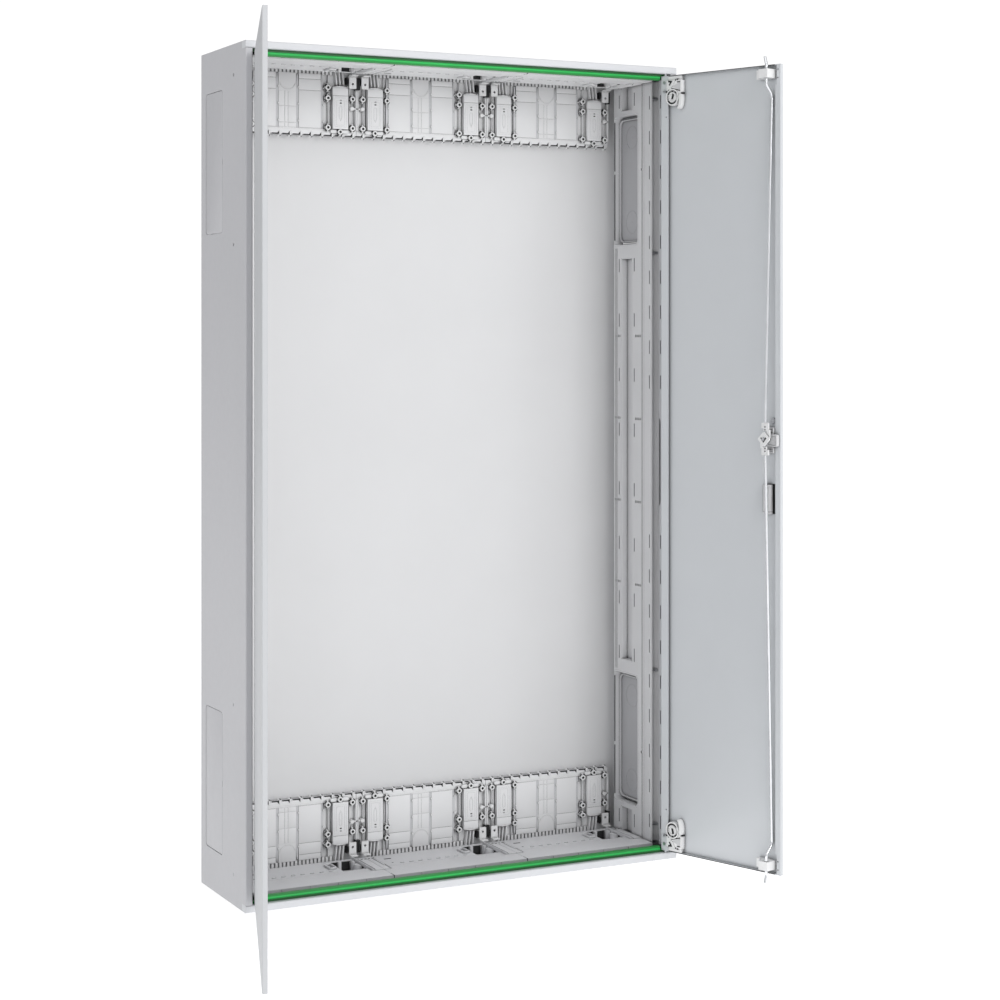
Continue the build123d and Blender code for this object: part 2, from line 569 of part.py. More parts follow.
# ---------------------------------------------------------------- lock on the right door (shut)
def rod(way):
    """A rod, the upper one with way 1: sloping down to the door, cranked out to its guide, hooked at its tip."""
    guide_z = HEIGHT / 2 + way * (GUIDE_Z - HEIGHT / 2)
    route = [
        (ROD_H_LOCK, LOCK_Z + way * LUG_END),
        (ROD_H_LOW, guide_z - way * 34),
        (ROD_H_GUIDE, guide_z - way * 19),
        (ROD_H_GUIDE, guide_z + way * 16),
        (ROD_H_TIP, HEIGHT / 2 + way * (HEIGHT / 2 - ROD_TIP)),
    ]
    points = [(LOCK_X, -LIP_Y + h, z) for h, z in route]
    path = FilletPolyline(*points, radius=[15, 8, 8])
    start = Plane(origin=path @ 0, z_dir=path % 0)
    return sweep(start * Circle(ROD_R), path=path)


def rod_lug():
    """The upper rod's punched end plate, with a fork on one side for a pin of the crank."""
    y0, y1 = -LIP_Y + LUG_H, -LIP_Y + LUG_H + LUG_T
    clear = 0.35
    spindle = SPINDLE_SQUARE * 0.7071 + clear
    pin = CRANK_PIN_R + clear
    inner = 12
    shape = rounded_plate(LOCK_X - 7.5, LOCK_X + 7.5, y0, y1, LOCK_Z + inner, LOCK_Z + LUG_END, 2)
    shape += block(LOCK_X - 10, LOCK_X - spindle, y0, y1, LOCK_Z + 1.6, LOCK_Z + 16)
    shape -= block(LOCK_X - spindle, LOCK_X + spindle, y0 - 1, y1 + 1, LOCK_Z, LOCK_Z + THROW + spindle)
    shape -= block(LOCK_X + 3, LOCK_X + 8, y0 - 1, y1 + 1, LOCK_Z, LOCK_Z + 18)
    shape -= block(LOCK_X - 8.5, LOCK_X - 3, y0 - 1, y1 + 1,
                   LOCK_Z + CRANK_PIN - pin, LOCK_Z + CRANK_PIN + pin)
    for r in (15.8, 20.6):
        shape -= stud(LOCK_X, LOCK_Z + r, y0 - 1, y1 + 1, 1.4)
    return shape


def lower_rod_lug():
    spindle = Pos(LOCK_X, 0, LOCK_Z)
    return spindle * Rot(0, 180, 0) * spindle.inverse() * rod_lug()


def lock_crank():
    """The square plate on the spindle's end, with two pins that drive the rods' forks."""
    y = -LIP_Y + LUG_H + LUG_T + 0.6
    plate = Pos(LOCK_X, y + 1.75, LOCK_Z) * Rot(0, 45, 0) * Box(18, 3.5, 18)
    shape = fillet(plate.edges().filter_by(Axis.Y), 2)
    for side in (-1, 1):
        shape += stud(LOCK_X - side * CRANK_PIN, LOCK_Z + side * CRANK_PIN, y - LUG_T - 0.9, y, CRANK_PIN_R)
    hole = SPINDLE_SQUARE + 0.06
    return shape - Pos(LOCK_X, y, LOCK_Z) * Rot(0, 45, 0) * Box(hole, 20, hole)


def lock_housing():
    """The lock's housing inside the door, with the spindle's bearing."""
    y = -LIP_Y
    shape = block(LOCK_X - 7.5, LOCK_X + 13, y - DOOR_T + SHEET, y + 0.3, HOUSING_Z - 22, HOUSING_Z + 22)
    shape += rounded_plate(LOCK_X - 18, LOCK_X + 8, y + 0.3, y + 8, HOUSING_Z - 10.5, HOUSING_Z + 10.5, 3)
    return shape - stud(LOCK_X, LOCK_Z, y - 10, y + 10, SPINDLE_R + PIN_CLEARANCE)


def rod_guide(z_mid):
    """A moulded guide: a foot on the door, and a proud head with a channel for the rod."""
    x0 = LOCK_X
    z0, z1 = z_mid - GUIDE_HALF, z_mid + GUIDE_HALF
    y = -LIP_Y
    foot = block(x0 + 14, x0 + 29, y - DOOR_T + SHEET, y + 4, z0, z1)
    head = block(x0 - 6.5, x0 + 14, y - DOOR_T + SHEET, y + 18.5, z0, z1)
    head = fillet(head.edges().filter_by(Axis.Z).group_by(Axis.Y)[-1], 1.5)
    channel = block(x0 - ROD_R - 0.3, x0 + ROD_R + 0.3, y + ROD_H_GUIDE - 3.6, y + ROD_H_GUIDE + 3.6,
                    z0 - 1, z1 + 1)
    return foot + head - channel


def lock_screws():
    """The screws of the two guides and the lock housing."""
    y = -LIP_Y
    guide = HEIGHT - GUIDE_Z
    places = [(21, 4, z + dz) for z in (guide, GUIDE_Z) for dz in (-4.5, 4.5)]
    places += [(10, 0.3, HOUSING_Z - 17), (10, 0.3, HOUSING_Z + 17)]
    return [stud(LOCK_X + x, z, y + h + 0.01, y + h + 1.6, 2.4) for x, h, z in places]


def spindle():
    """The handle's spindle: round in its bearing and square through the crank."""
    y = -LIP_Y
    shape = stud(LOCK_X, LOCK_Z, -DEPTH - 7, y + 8.3, SPINDLE_R)
    square = Pos(LOCK_X, y + 15.65, LOCK_Z) * Rot(0, 45, 0) * Box(SPINDLE_SQUARE, 14.7, SPINDLE_SQUARE)
    return shape + square


def handle_lever():
    """The outer handle: a round hub and a lever that hangs down when locked."""
    hub = stud(LOCK_X, LOCK_Z, -DEPTH - LEVER_OUT, -DEPTH - 3.4, HUB_R)
    hub = fillet(hub.edges().sort_by(Axis.Y)[0], 2)
    arm = rounded_plate(LOCK_X - 8, LOCK_X + 8, -DEPTH - LEVER_OUT, -DEPTH - 4.5, LOCK_Z - 122, LOCK_Z, 7)
    arm = fillet(arm.faces().sort_by(Axis.Y)[0].edges(), 2)
    shape = hub + arm
    return shape - stud(LOCK_X, LOCK_Z, -DEPTH - 7.05, -DEPTH, SPINDLE_R + 0.01)


def handle_dish():
    """The handle's plate on the door, with a finger tub behind the lever's end."""
    plate = rounded_plate(LOCK_X - 14, LOCK_X + 16, -DEPTH - 3, -DEPTH, LOCK_Z - 140, LOCK_Z + 48, 10)
    plate = fillet(plate.faces().sort_by(Axis.Y)[0].edges(), 1)
    tub = block(LOCK_X - 6, LOCK_X + 15.8, -DEPTH, -LIP_Y + 6, TUB_LOW, TUB_HIGH)
    tub = fillet(tub.edges().filter_by(Axis.Y), 2)
    hollow = rounded_plate(LOCK_X - 4.2, LOCK_X + 14, -DEPTH - 4, -LIP_Y + 4.2,
                           TUB_LOW + 1.8, TUB_HIGH - 1.8, 2)
    shape = plate + tub - hollow
    shape -= stud(LOCK_X, LOCK_Z, -DEPTH - 4, -DEPTH + 1, SPINDLE_R + 0.3)
    return shape - stud(LOCK_X, KEY_Z, -DEPTH - 4, -DEPTH + 1, KEY_R + PIN_CLEARANCE)


def key_plug():
    """The lock's key plug, with a double-bit socket."""
    shape = stud(LOCK_X, KEY_Z, -DEPTH - 3.4, -DEPTH + SHEET + 3, KEY_R)
    shape -= stud(LOCK_X, KEY_Z, -DEPTH - 4, -DEPTH + 1, 3.2)
    shape += stud(LOCK_X, KEY_Z, -DEPTH - 3.2, -DEPTH + 1, 1.4)
    return shape - block(LOCK_X - 4.2, LOCK_X + 4.2, -DEPTH - 4, -DEPTH - 0.4, KEY_Z - 0.7, KEY_Z + 0.7)


def right_leaf():
    """The right door pan, with the holes for the handle."""
    shape = leaf(DOOR_EDGE, DOOR_SPLIT + MEETING_GAP / 2)
    shape -= block(LOCK_X - 6.2, LOCK_X + 16, -DEPTH - 1, -LIP_Y - 2, TUB_LOW - 0.2, TUB_HIGH + 0.2)
    shape -= stud(LOCK_X, LOCK_Z, -DEPTH - 1, -LIP_Y - 2, SPINDLE_R + 0.3)
    return shape - stud(LOCK_X, KEY_Z, -DEPTH - 1, -LIP_Y - 2, KEY_R + 0.2)


def swung(shape, side):
    """Moves a part of a shut door to its open rest pose. side is -1 for the left door, 1 for the right."""
    hinge = Pos(side * AXIS_X, AXIS_Y, 0)
    return hinge * Rot(0, 0, side * OPEN_ANGLE) * hinge.inverse() * shape


# ---------------------------------------------------------------- write every node
def write_body():
    save("back_panel", back_panel())
    save("top_plate", outer_plate())
    save("bottom_plate", mirrored_z(outer_plate()))
    save("top_rail", rail())
    save("bottom_rail", mirrored_z(rail()))
    save("top_gasket", gasket())
    save("bottom_gasket", mirrored_z(gasket()))
    bushes = [hinge_bush(side) for side in (-1, 1)]
    save("hinge_bushes", bushes + [mirrored_z(bush) for bush in bushes])
    save("right_side_wall", side_wall())
    save("left_side_wall", mirrored_x(side_wall()))
    save("right_profile", profile())
    save("left_profile", mirrored_x(profile()))
    save("side_screws", side_screws() + [mirrored_x(screw) for screw in side_screws()])
    for name, part in (("entry_cover", entry_cover()), ("entry_plate", entry_plate())):
        save(name + "_right_bottom", part)
        save(name + "_right_top", mirrored_z(part))
        save(name + "_left_bottom", mirrored_x(part))
        save(name + "_left_top", mirrored_x(mirrored_z(part)))


def write_modules():
    groups = {"rear_covers": [], "module_screws": [], "joint_brackets": []}
    rear = rear_module()
    floor = floor_module()
    small = {"rear_covers": cover_plates(), "module_screws": module_screws(),
             "joint_brackets": joint_brackets()}
    for field, name in zip(FIELDS, ("left", "middle", "right")):
        place = Pos(field * FIELD, 0, 0)
        save("rear_flange_top_" + name, place * rear)
        save("rear_flange_bottom_" + name, mirrored_z(place * rear))
        save("flange_bottom_" + name, place * floor)
        save("flange_top_" + name, mirrored_z(place * floor))
        for group, pieces in small.items():
            groups[group] += [place * piece for piece in pieces]
    for group, pieces in groups.items():
        turned = [mirrored_z(piece) for piece in pieces]
        if group == "rear_covers":
            save(group + "_top", pieces)
            save(group + "_bottom", turned)
        else:
            save(group, pieces + turned)


def write_door(side, name, pan):
    hinged_x = side * DOOR_EDGE
    block_top = hinge_block(hinged_x, -side)
    pin_top = hinge_pin(hinged_x, -side)
    screws = hinge_screws(hinged_x, -side)
    screws += [mirrored_z(screw) for screw in screws]
    save(name + "_door_leaf", swung(pan, side))
    save(name + "_hinge_top", swung(block_top, side))
    save(name + "_hinge_bottom", swung(mirrored_z(block_top), side))
    save(name + "_hinge_pins", [swung(pin_top, side), swung(mirrored_z(pin_top), side)])
    save(name + "_hinge_screws", [swung(screw, side) for screw in screws])


def write_lock():
    pieces = {
        "handle_dish": handle_dish(),
        "handle_lever": handle_lever(),
        "handle_spindle": spindle(),
        "key_plug": key_plug(),
        "lock_housing": lock_housing(),
        "lock_crank": lock_crank(),
        "upper_rod": rod(1),
        "lower_rod": rod(-1),
        "upper_rod_lug": rod_lug(),
        "lower_rod_lug": lower_rod_lug(),
        "upper_rod_guide": rod_guide(GUIDE_Z),
        "lower_rod_guide": rod_guide(HEIGHT - GUIDE_Z),
    }
    for name, piece in pieces.items():
        save(name, swung(piece, 1))
    save("lock_screws", [swung(screw, 1) for screw in lock_screws()])


write_body()
write_modules()
write_door(-1, "left", leaf(-DOOR_EDGE, DOOR_SPLIT - MEETING_GAP / 2))
write_door(1, "right", right_leaf())
write_lock()

# The places that the joints need, at the open rest pose.
angle = radians(OPEN_ANGLE)
print("right door axis", (AXIS_X, AXIS_Y), "its outward normal", (sin(angle), -cos(angle), 0))
for label, z in (("handle", LOCK_Z), ("key", KEY_Z)):
    place = swung(Pos(LOCK_X, -DEPTH, z) * Sphere(1), 1).center()
    print(label, "axis through", place)
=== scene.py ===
import math

import bmesh
import bpy
from mathutils import Matrix, Vector


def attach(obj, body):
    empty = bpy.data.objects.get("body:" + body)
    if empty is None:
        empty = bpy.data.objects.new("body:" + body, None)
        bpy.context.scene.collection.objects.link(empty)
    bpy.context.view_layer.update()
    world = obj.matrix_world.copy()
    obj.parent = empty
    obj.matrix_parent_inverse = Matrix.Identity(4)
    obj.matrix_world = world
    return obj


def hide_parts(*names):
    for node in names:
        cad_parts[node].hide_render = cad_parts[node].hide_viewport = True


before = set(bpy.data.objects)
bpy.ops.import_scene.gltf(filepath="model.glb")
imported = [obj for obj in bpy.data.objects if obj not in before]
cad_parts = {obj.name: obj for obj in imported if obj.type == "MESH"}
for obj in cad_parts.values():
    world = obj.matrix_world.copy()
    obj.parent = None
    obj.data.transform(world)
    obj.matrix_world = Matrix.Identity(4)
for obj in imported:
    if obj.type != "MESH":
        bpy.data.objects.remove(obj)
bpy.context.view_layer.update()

# The looks of a wall-mounted switchboard cabinet. Shapes are drawn in millimetres with z from the
# cabinet's underside, doors shut, as the CAD part draws them, then moved to their place in the frame.

WIDTH, HEIGHT, DEPTH = 800.0, 1400.0, 225.0
SHEET = 1.5
FIELD = 250.0
FIELD_NAMES = (("left", -1), ("middle", 0), ("right", 1))
MODULE_HALF = 124.7

RAIL_D = 18.0
RIM_W = 12.0
DOOR_EDGE = 385.7            # hinged edge of a shut door, from the middle
DOOR_T = 8.0
LEVEL = -(DEPTH - DOOR_T)    # the inner level of a shut door
AXIS_X = DOOR_EDGE - 6.0
AXIS_Y = -DEPTH + 4.0
OPEN_ANGLE = 108.35
DOOR_LOW = 16.0
DOOR_HIGH = HEIGHT - DOOR_LOW
LOCK_X = 118.5 + 19.2
LOCK_Z = 751.5
HOUSING_Z = LOCK_Z - 2.5
TUB_LOW = LOCK_Z - 127.5
TUB_HIGH = LOCK_Z - 77.0

REAR_FACE = 14.0             # front of a rear flange's plate, from the back
REAR_BOSS = 26.0             # front of its bosses and cover plates
REAR_LOW = HEIGHT - 132.0
COVER_X = 92.5
COVER_LOW = HEIGHT - 116.0
COVER_HIGH = HEIGHT - 41.0
FLOOR_FRONT = 194.0
FLOOR_REAR = 27.0
LEDGE_H = 21.6
PLATEAU_H = 20.0
PROFILE_X = 378.0
GASKET_TOP = HEIGHT - 12.0   # the upper seal, which lies under its rail
GASKET_H = 11.0
SEAL_FRONT = LEVEL + 0.4
SEAL_HALF = AXIS_X - 7.81    # half the bead's length, clear of the doors' pins
HINGE_LOW = HEIGHT - 79.0    # the upper hinge block's foot, and its thick part's top
HINGE_PROUD = GASKET_TOP - GASKET_H - 1.5


# ---------------------------------------------------------------- placing
def drawn(z_flip=False, x_flip=False, shift_x=0.0):
    """From drawing millimetres to the frame's metres, mirrored top to bottom or side to side if asked."""
    place = Matrix.Scale(0.001, 4) @ Matrix.Translation((shift_x, 0, -HEIGHT / 2))
    if z_flip:
        place = Matrix.Diagonal((1, 1, -1, 1)) @ place
    if x_flip:
        place = Matrix.Diagonal((-1, 1, 1, 1)) @ place
    return place


def swung(side, z_flip=False):
    """A shut door's pieces at their open rest pose. Left-hand pieces are drawn as right-hand ones."""
    hinge = Matrix.Translation((AXIS_X / 1000, AXIS_Y / 1000, 0))
    turn = hinge @ Matrix.Rotation(math.radians(OPEN_ANGLE), 4, "Z") @ hinge.inverted()
    place = turn @ drawn(z_flip)
    return Matrix.Diagonal((-1, 1, 1, 1)) @ place if side < 0 else place


# ---------------------------------------------------------------- mesh building
def rect(a0, a1, b0, b1, r=0.0, steps=5):
    """A rectangle's outline, its corners rounded if r is given."""
    if r <= 0:
        return [(a0, b0), (a1, b0), (a1, b1), (a0, b1)]
    corners = ((a1 - r, b1 - r, 0), (a0 + r, b1 - r, 90), (a0 + r, b0 + r, 180), (a1 - r, b0 + r, 270))
    points = []
    for a, b, start in corners:
        points += arc(a, b, r, start, start + 90, steps)
    return points


def arc(a, b, r, start, end, steps=16):
    """Points on an arc, angles in degrees."""
    turn = [math.radians(start + (end - start) * k / steps) for k in range(steps + 1)]
    return [(a + r * math.cos(t), b + r * math.sin(t)) for t in turn]


class Shape:
    """Closed solids in drawing millimetres, gathered into one mesh."""

    def __init__(self):
        self.verts = []
        self.faces = []

    def _point(self, axis, a, b, t):
        return {"x": (t, a, b), "y": (a, t, b), "z": (a, b, t)}[axis]

    def prism(self, outline, t0, t1, axis="y"):
        """An outline pushed along an axis. Its points are given on the other two axes, in order."""
        n = len(outline)
        first = len(self.verts)
        for t in (t0, t1):
            self.verts += [self._point(axis, a, b, t) for a, b in outline]
        self.faces.append(list(range(first, first + n)))
        self.faces.append(list(range(first + n, first + 2 * n)))
        for k in range(n):
            m = (k + 1) % n
            self.faces.append([first + k, first + m, first + n + m, first + n + k])

    def box(self, x0, x1, y0, y1, z0, z1):
        self.prism(rect(x0, x1, y0, y1), z0, z1, "z")

    def disc(self, a, b, r, t0, t1, axis="y", steps=20):
        self.prism(arc(a, b, r, 0, 360 - 360 / steps, steps - 1), t0, t1, axis)

    def loops(self, rings):
        """Closed rings of 3-D points joined each to the next, and the last to the first."""
        n = len(rings[0])
        first = len(self.verts)
        for ring in rings:
            self.verts += ring
        for i in range(len(rings)):
            here, there = first + i * n, first + ((i + 1) % len(rings)) * n
            for k in range(n):
                m = (k + 1) % n
                self.faces.append([here + k, here + m, there + m, there + k])

    def ring(self, outer, inner, t0, t1, axis="y"):
        """A flat ring between two outlines with the same number of points."""
        rings = []
        for outline, t in ((outer, t0), (outer, t1), (inner, t1), (inner, t0)):
            rings.append([self._point(axis, a, b, t) for a, b in outline])
        self.loops(rings)

    def hoop(self, a, b, r_out, r_in, t0, t1, axis="y", start=0.0, end=360.0, steps=24):
        """A round ring, or part of one."""
        if end - start >= 360:
            last = 360 - 360 / steps
            self.ring(arc(a, b, r_out, 0, last, steps - 1), arc(a, b, r_in, 0, last, steps - 1), t0, t1, axis)
            return
        outline = arc(a, b, r_out, start, end, steps) + arc(a, b, r_in, end, start, steps)
        self.prism(outline, t0, t1, axis)

    def lattice(self, a0, a1, b0, b1, holes, t0, t1, axis="y"):
        """A plate with rectangular holes, each (a0, a1, b0, b1)."""
        inside = [h for h in holes if h[1] > a0 and h[0] < a1 and h[3] > b0 and h[2] < b1]
        a_cuts = sorted({a0, a1} | {min(max(v, a0), a1) for h in inside for v in h[:2]})
        b_cuts = sorted({b0, b1} | {min(max(v, b0), b1) for h in inside for v in h[2:]})
        rows, cols = len(b_cuts), len(a_cuts)
        first = len(self.verts)
        for t in (t0, t1):
            for b in b_cuts:
                self.verts += [self._point(axis, a, b, t) for a in a_cuts]

        def solid(i, j):
            if not (0 <= i < cols - 1 and 0 <= j < rows - 1):
                return False
            a, b = (a_cuts[i] + a_cuts[i + 1]) / 2, (b_cuts[j] + b_cuts[j + 1]) / 2
            return not any(h[0] < a < h[1] and h[2] < b < h[3] for h in inside)

        def index(i, j, layer):
            return first + layer * rows * cols + j * cols + i

        for i in range(cols - 1):
            for j in range(rows - 1):
                if not solid(i, j):
                    continue
                corners = [(i, j), (i + 1, j), (i + 1, j + 1), (i, j + 1)]
                self.faces.append([index(p, q, 0) for p, q in corners])
                self.faces.append([index(p, q, 1) for p, q in corners])
                sides = ((0, 1, 0, -1), (1, 2, 1, 0), (2, 3, 0, 1), (3, 0, -1, 0))
                for c0, c1, di, dj in sides:
                    if not solid(i + di, j + dj):
                        (p0, q0), (p1, q1) = corners[c0], corners[c1]
                        self.faces.append([index(p0, q0, 0), index(p1, q1, 0),
                                           index(p1, q1, 1), index(p0, q0, 1)])

    def mesh(self, name, bevel):
        """The gathered solids as a mesh, with small rounded edges."""
        data = bpy.data.meshes.new(name)
        data.from_pydata([Vector(v) for v in self.verts], [], self.faces)
        bm = bmesh.new()
        bm.from_mesh(data)
        loose = [v for v in bm.verts if not v.link_faces]
        bmesh.ops.delete(bm, geom=loose, context="VERTS")
        bmesh.ops.recalc_face_normals(bm, faces=bm.faces)
        if bevel > 0:
            sharp = [e for e in bm.edges
                     if e.is_manifold and e.calc_face_angle(0) > math.radians(35)]
            bmesh.ops.bevel(bm, geom=sharp, offset=bevel, segments=2, profile=0.6,
                            affect="EDGES", clamp_overlap=True)
        for face in bm.faces:
            face.smooth = True
        bm.to_mesh(data)
        bm.free()
        return data


def piece(name, data, place, body, look, replaces=()):
    """One visible piece: a mesh in its place, riding on a body, with its look."""
    data = data.copy()
    data.name = name
    data.transform(place)
    if place.determinant() < 0:
        data.flip_normals()
    data.set_sharp_from_angle(angle=math.radians(40))
    data.materials.clear()
    data.materials.append(LOOK[look])
    obj = bpy.data.objects.new(name, data)
    bpy.context.scene.collection.objects.link(obj)
    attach(obj, body)
    if replaces:
        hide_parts(*replaces)
    return obj


# ---------------------------------------------------------------- materials
class Nodes:
    """A material's node tree, with short calls for the nodes that the finishes share."""

    def __init__(self, name):
        self.material = bpy.data.materials.new(name)
        self.material.use_nodes = True
        self.tree = self.material.node_tree
        self.shader = self.tree.nodes["Principled BSDF"]
        coordinates = self.tree.nodes.new("ShaderNodeTexCoord")
        self.place = coordinates.outputs["Object"]

    def noise(self, scale, detail=3.0, stretch=None):
        node = self.tree.nodes.new("ShaderNodeTexNoise")
        node.inputs["Scale"].default_value = scale
        node.inputs["Detail"].default_value = detail
        source = self.place
        if stretch:
            mapping = self.tree.nodes.new("ShaderNodeMapping")
            mapping.inputs["Scale"].default_value = stretch
            self.tree.links.new(source, mapping.inputs["Vector"])
            source = mapping.outputs["Vector"]
        self.tree.links.new(source, node.inputs["Vector"])
        return node.outputs["Fac"]

    def ramp(self, value, low, high, position=(0.3, 0.7)):
        """Between two colours or two greys, over a stretch of the value."""
        node = self.tree.nodes.new("ShaderNodeValToRGB")
        stops = node.color_ramp.elements
        for stop, place, colour in ((stops[0], position[0], low), (stops[1], position[1], high)):
            stop.position = place
            stop.color = (*colour, 1) if isinstance(colour, tuple) else (colour, colour, colour, 1)
        self.tree.links.new(value, node.inputs["Fac"])
        return node.outputs["Color"]

    def bump(self, height, strength, distance, bevel=0.0):
        node = self.tree.nodes.new("ShaderNodeBump")
        node.inputs["Strength"].default_value = strength
        node.inputs["Distance"].default_value = distance
        self.tree.links.new(height, node.inputs["Height"])
        if bevel > 0:
            edge = self.tree.nodes.new("ShaderNodeBevel")
            edge.samples = 4
            edge.inputs["Radius"].default_value = bevel
            self.tree.links.new(edge.outputs["Normal"], node.inputs["Normal"])
        self.tree.links.new(node.outputs["Normal"], self.shader.inputs["Normal"])

    def painted_recess_shade(self, colour, distance, depth):
        """The colour, darkened where other surfaces crowd round it: painted shade in grooves, corners and
        gaps.
        """
        close = self.tree.nodes.new("ShaderNodeAmbientOcclusion")
        close.samples = 6
        close.inputs["Distance"].default_value = distance
        shade = self.ramp(close.outputs["AO"], depth, 1.0, (0.15, 0.85))
        mix = self.tree.nodes.new("ShaderNodeMix")
        mix.data_type = "RGBA"
        mix.blend_type = "MULTIPLY"
        mix.inputs["Factor"].default_value = 1.0
        self.tree.links.new(colour, mix.inputs[6])
        self.tree.links.new(shade, mix.inputs[7])
        return mix.outputs[2]

    def set(self, **values):
        for name, value in values.items():
            self.shader.inputs[name.replace("_", " ")].default_value = value

    def link(self, value, name):
        self.tree.links.new(value, self.shader.inputs[name])


def paint(name, colour, rough, bevel=0.0, reach=0.012):
    """Powder coat: a faint orange peel over a very slightly uneven tone, with painted shade darkening its
    recesses.
    """
    nodes = Nodes(name)
    dark = tuple(c * 0.975 for c in colour)
    tone = nodes.ramp(nodes.noise(6, 4), dark, colour)
    nodes.link(nodes.painted_recess_shade(tone, reach, 0.3), "Base Color")
    nodes.link(nodes.ramp(nodes.noise(90, 2), rough * 0.9, rough * 1.1), "Roughness")
    nodes.bump(nodes.noise(900, 2), 0.12, 0.0002, bevel)
    nodes.set(IOR=1.5)
    return nodes.material


def plastic(name, colour, rough, grain, bevel=0.0, reach=0.007, depth=0.12):
    """Moulded plastic with a fine spark-eroded grain, and painted shade darkening its recesses."""
    nodes = Nodes(name)
    dark = tuple(c * 0.96 for c in colour)
    tone = nodes.ramp(nodes.noise(14, 5), dark, colour)
    nodes.link(nodes.painted_recess_shade(tone, reach, depth), "Base Color")
    nodes.link(nodes.ramp(nodes.noise(220, 2), rough * 0.88, rough * 1.12), "Roughness")
    nodes.bump(nodes.noise(1500, 3), grain, 0.0002, bevel)
    nodes.set(IOR=1.46)
    return nodes.material


def rubber(name, colour):
    nodes = Nodes(name)
    dark = tuple(c * 0.85 for c in colour)
    tone = nodes.ramp(nodes.noise(40, 4, (0.1, 1, 1)), dark, colour)
    # Painted shade: the rubber's colour is darkened in its recesses.
    nodes.link(nodes.painted_recess_shade(tone, 0.002, 0.5), "Base Color")
    nodes.link(nodes.ramp(nodes.noise(300, 2), 0.3, 0.42), "Roughness")
    nodes.bump(nodes.noise(700, 2, (0.05, 1, 1)), 0.1, 0.0002)
    return nodes.material


def zinc(name, colour, rough, stretch, metal=1.0):
    """Zinc-plated steel, drawn or rolled along one axis, with painted shade darkening its recesses."""
    nodes = Nodes(name)
    dark = tuple(c * 0.9 for c in colour)
    tone = nodes.ramp(nodes.noise(60, 4), dark, colour)
    nodes.link(nodes.painted_recess_shade(tone, 0.005, 0.2), "Base Color")
    nodes.link(nodes.ramp(nodes.noise(400, 3, stretch), rough * 0.8, rough * 1.25), "Roughness")
    nodes.bump(nodes.noise(900, 2, stretch), 0.1, 0.0001, 0.0004)
    nodes.set(Metallic=metal)
    return nodes.material


LOOK = {
    "body": paint("powder_coat_body", (0.66, 0.67, 0.69), 0.38, 0.0008, 0.006),
    # Painted light and shade: the walls and the left door take darker copies of the body's powder coat, and
    # the back a lighter one, for how the light falls on each.
    "wall": paint("powder_coat_walls_shaded", (0.55, 0.55, 0.57), 0.42, 0.0008, 0.003),
    "back": paint("powder_coat_back_lit", (0.74, 0.74, 0.745), 0.5, 0.0004, 0.005),
    "door": paint("powder_coat_doors", (0.63, 0.65, 0.67), 0.2, 0.0006, 0.009),
    "left_door": paint("powder_coat_left_door_shaded", (0.58, 0.59, 0.605), 0.45, 0.0006, 0.009),
    "module": plastic("flange_plastic", (0.86, 0.86, 0.865), 0.48, 0.1, 0.0, 0.0045, 0.3),
    # Painted shade: darker copies of the flange plastic for the lower flanges, their ledge faces and the rear
    # flanges' groove floors.
    "shaded_module": plastic("flange_plastic_shaded", (0.68, 0.68, 0.695), 0.48, 0.1, 0.0, 0.005, 0.2),
    "shaded_ledge": plastic("ledge_face_plastic_shaded", (0.40, 0.40, 0.415), 0.5, 0.1, 0.0, 0.004, 0.25),
    # Painted highlight: the seal lip is lighter, with a green tint as a painted reflection of the seal.
    "lip": plastic("seal_lip_plastic_lit", (0.88, 0.90, 0.885), 0.4, 0.08, 0.0, 0.002, 0.6),
    "profile": plastic("profile_plastic", (0.69, 0.69, 0.70), 0.42, 0.08, 0.0, 0.006, 0.2),
    "entry": plastic("entry_plastic", (0.46, 0.46, 0.475), 0.45, 0.08),
    "white": plastic("white_plastic", (0.86, 0.86, 0.86), 0.3, 0.05, 0.0006, 0.006, 0.05),
    "lock": plastic("lock_plastic", (0.66, 0.66, 0.67), 0.32, 0.05, 0.0006, 0.006, 0.05),
    # Painted shade: a near-black colour for solid pieces put where only shade is seen, in slots, gaps,
    # notches and holes.
    "painted_shade": plastic("painted_shade_black", (0.016, 0.016, 0.017), 0.6, 0.1),
    "handle": plastic("handle_plastic", (0.055, 0.057, 0.06), 0.42, 0.15, 0.0008),
    "gasket": rubber("gasket_rubber", (0.012, 0.50, 0.085)),
    # Painted shade: darker copies of the seal's green rubber for its base and flank, which lie in the bead's
    # shade.
    "gasket_base": rubber("gasket_base_rubber_shaded", (0.004, 0.12, 0.018)),
    "gasket_flank": rubber("gasket_flank_rubber_shaded", (0.012, 0.27, 0.045)),
    "plate": zinc("zinc_plates", (0.88, 0.88, 0.88), 0.45, (1, 1, 1), 0.25),
    "rod": zinc("zinc_rods", (0.86, 0.87, 0.89), 0.2, (1, 1, 0.02)),
    "screw": zinc("zinc_screws", (0.62, 0.63, 0.65), 0.3, (1, 1, 1)),
}


CAD_LOOKS = (
    # The wall, back and left door looks are painted-shade and painted-light copies of the body's coat.
    ("wall", ("side_wall", "entry_cover")),
    ("back", ("back_panel",)),
    ("left_door", ("left_door_leaf",)),
    ("door", ("door_leaf",)),
    ("module", ("rear_flange", "rear_covers")),
    ("shaded_module", ("flange_",)),
    ("profile", ("_profile",)),
    ("entry", ("entry_plate",)),
    ("gasket", ("gasket",)),
    ("handle", ("handle_dish", "handle_lever")),
    ("screw", ("screws", "key_plug", "pins")),
    ("white", ("rod_guide", "joint_brackets", "hinge_bushes", "lock_housing", "hinge_top", "hinge_bottom")),
    ("plate", ("_lug", "lock_crank")),
    ("rod", ("rod", "handle_spindle")),
)


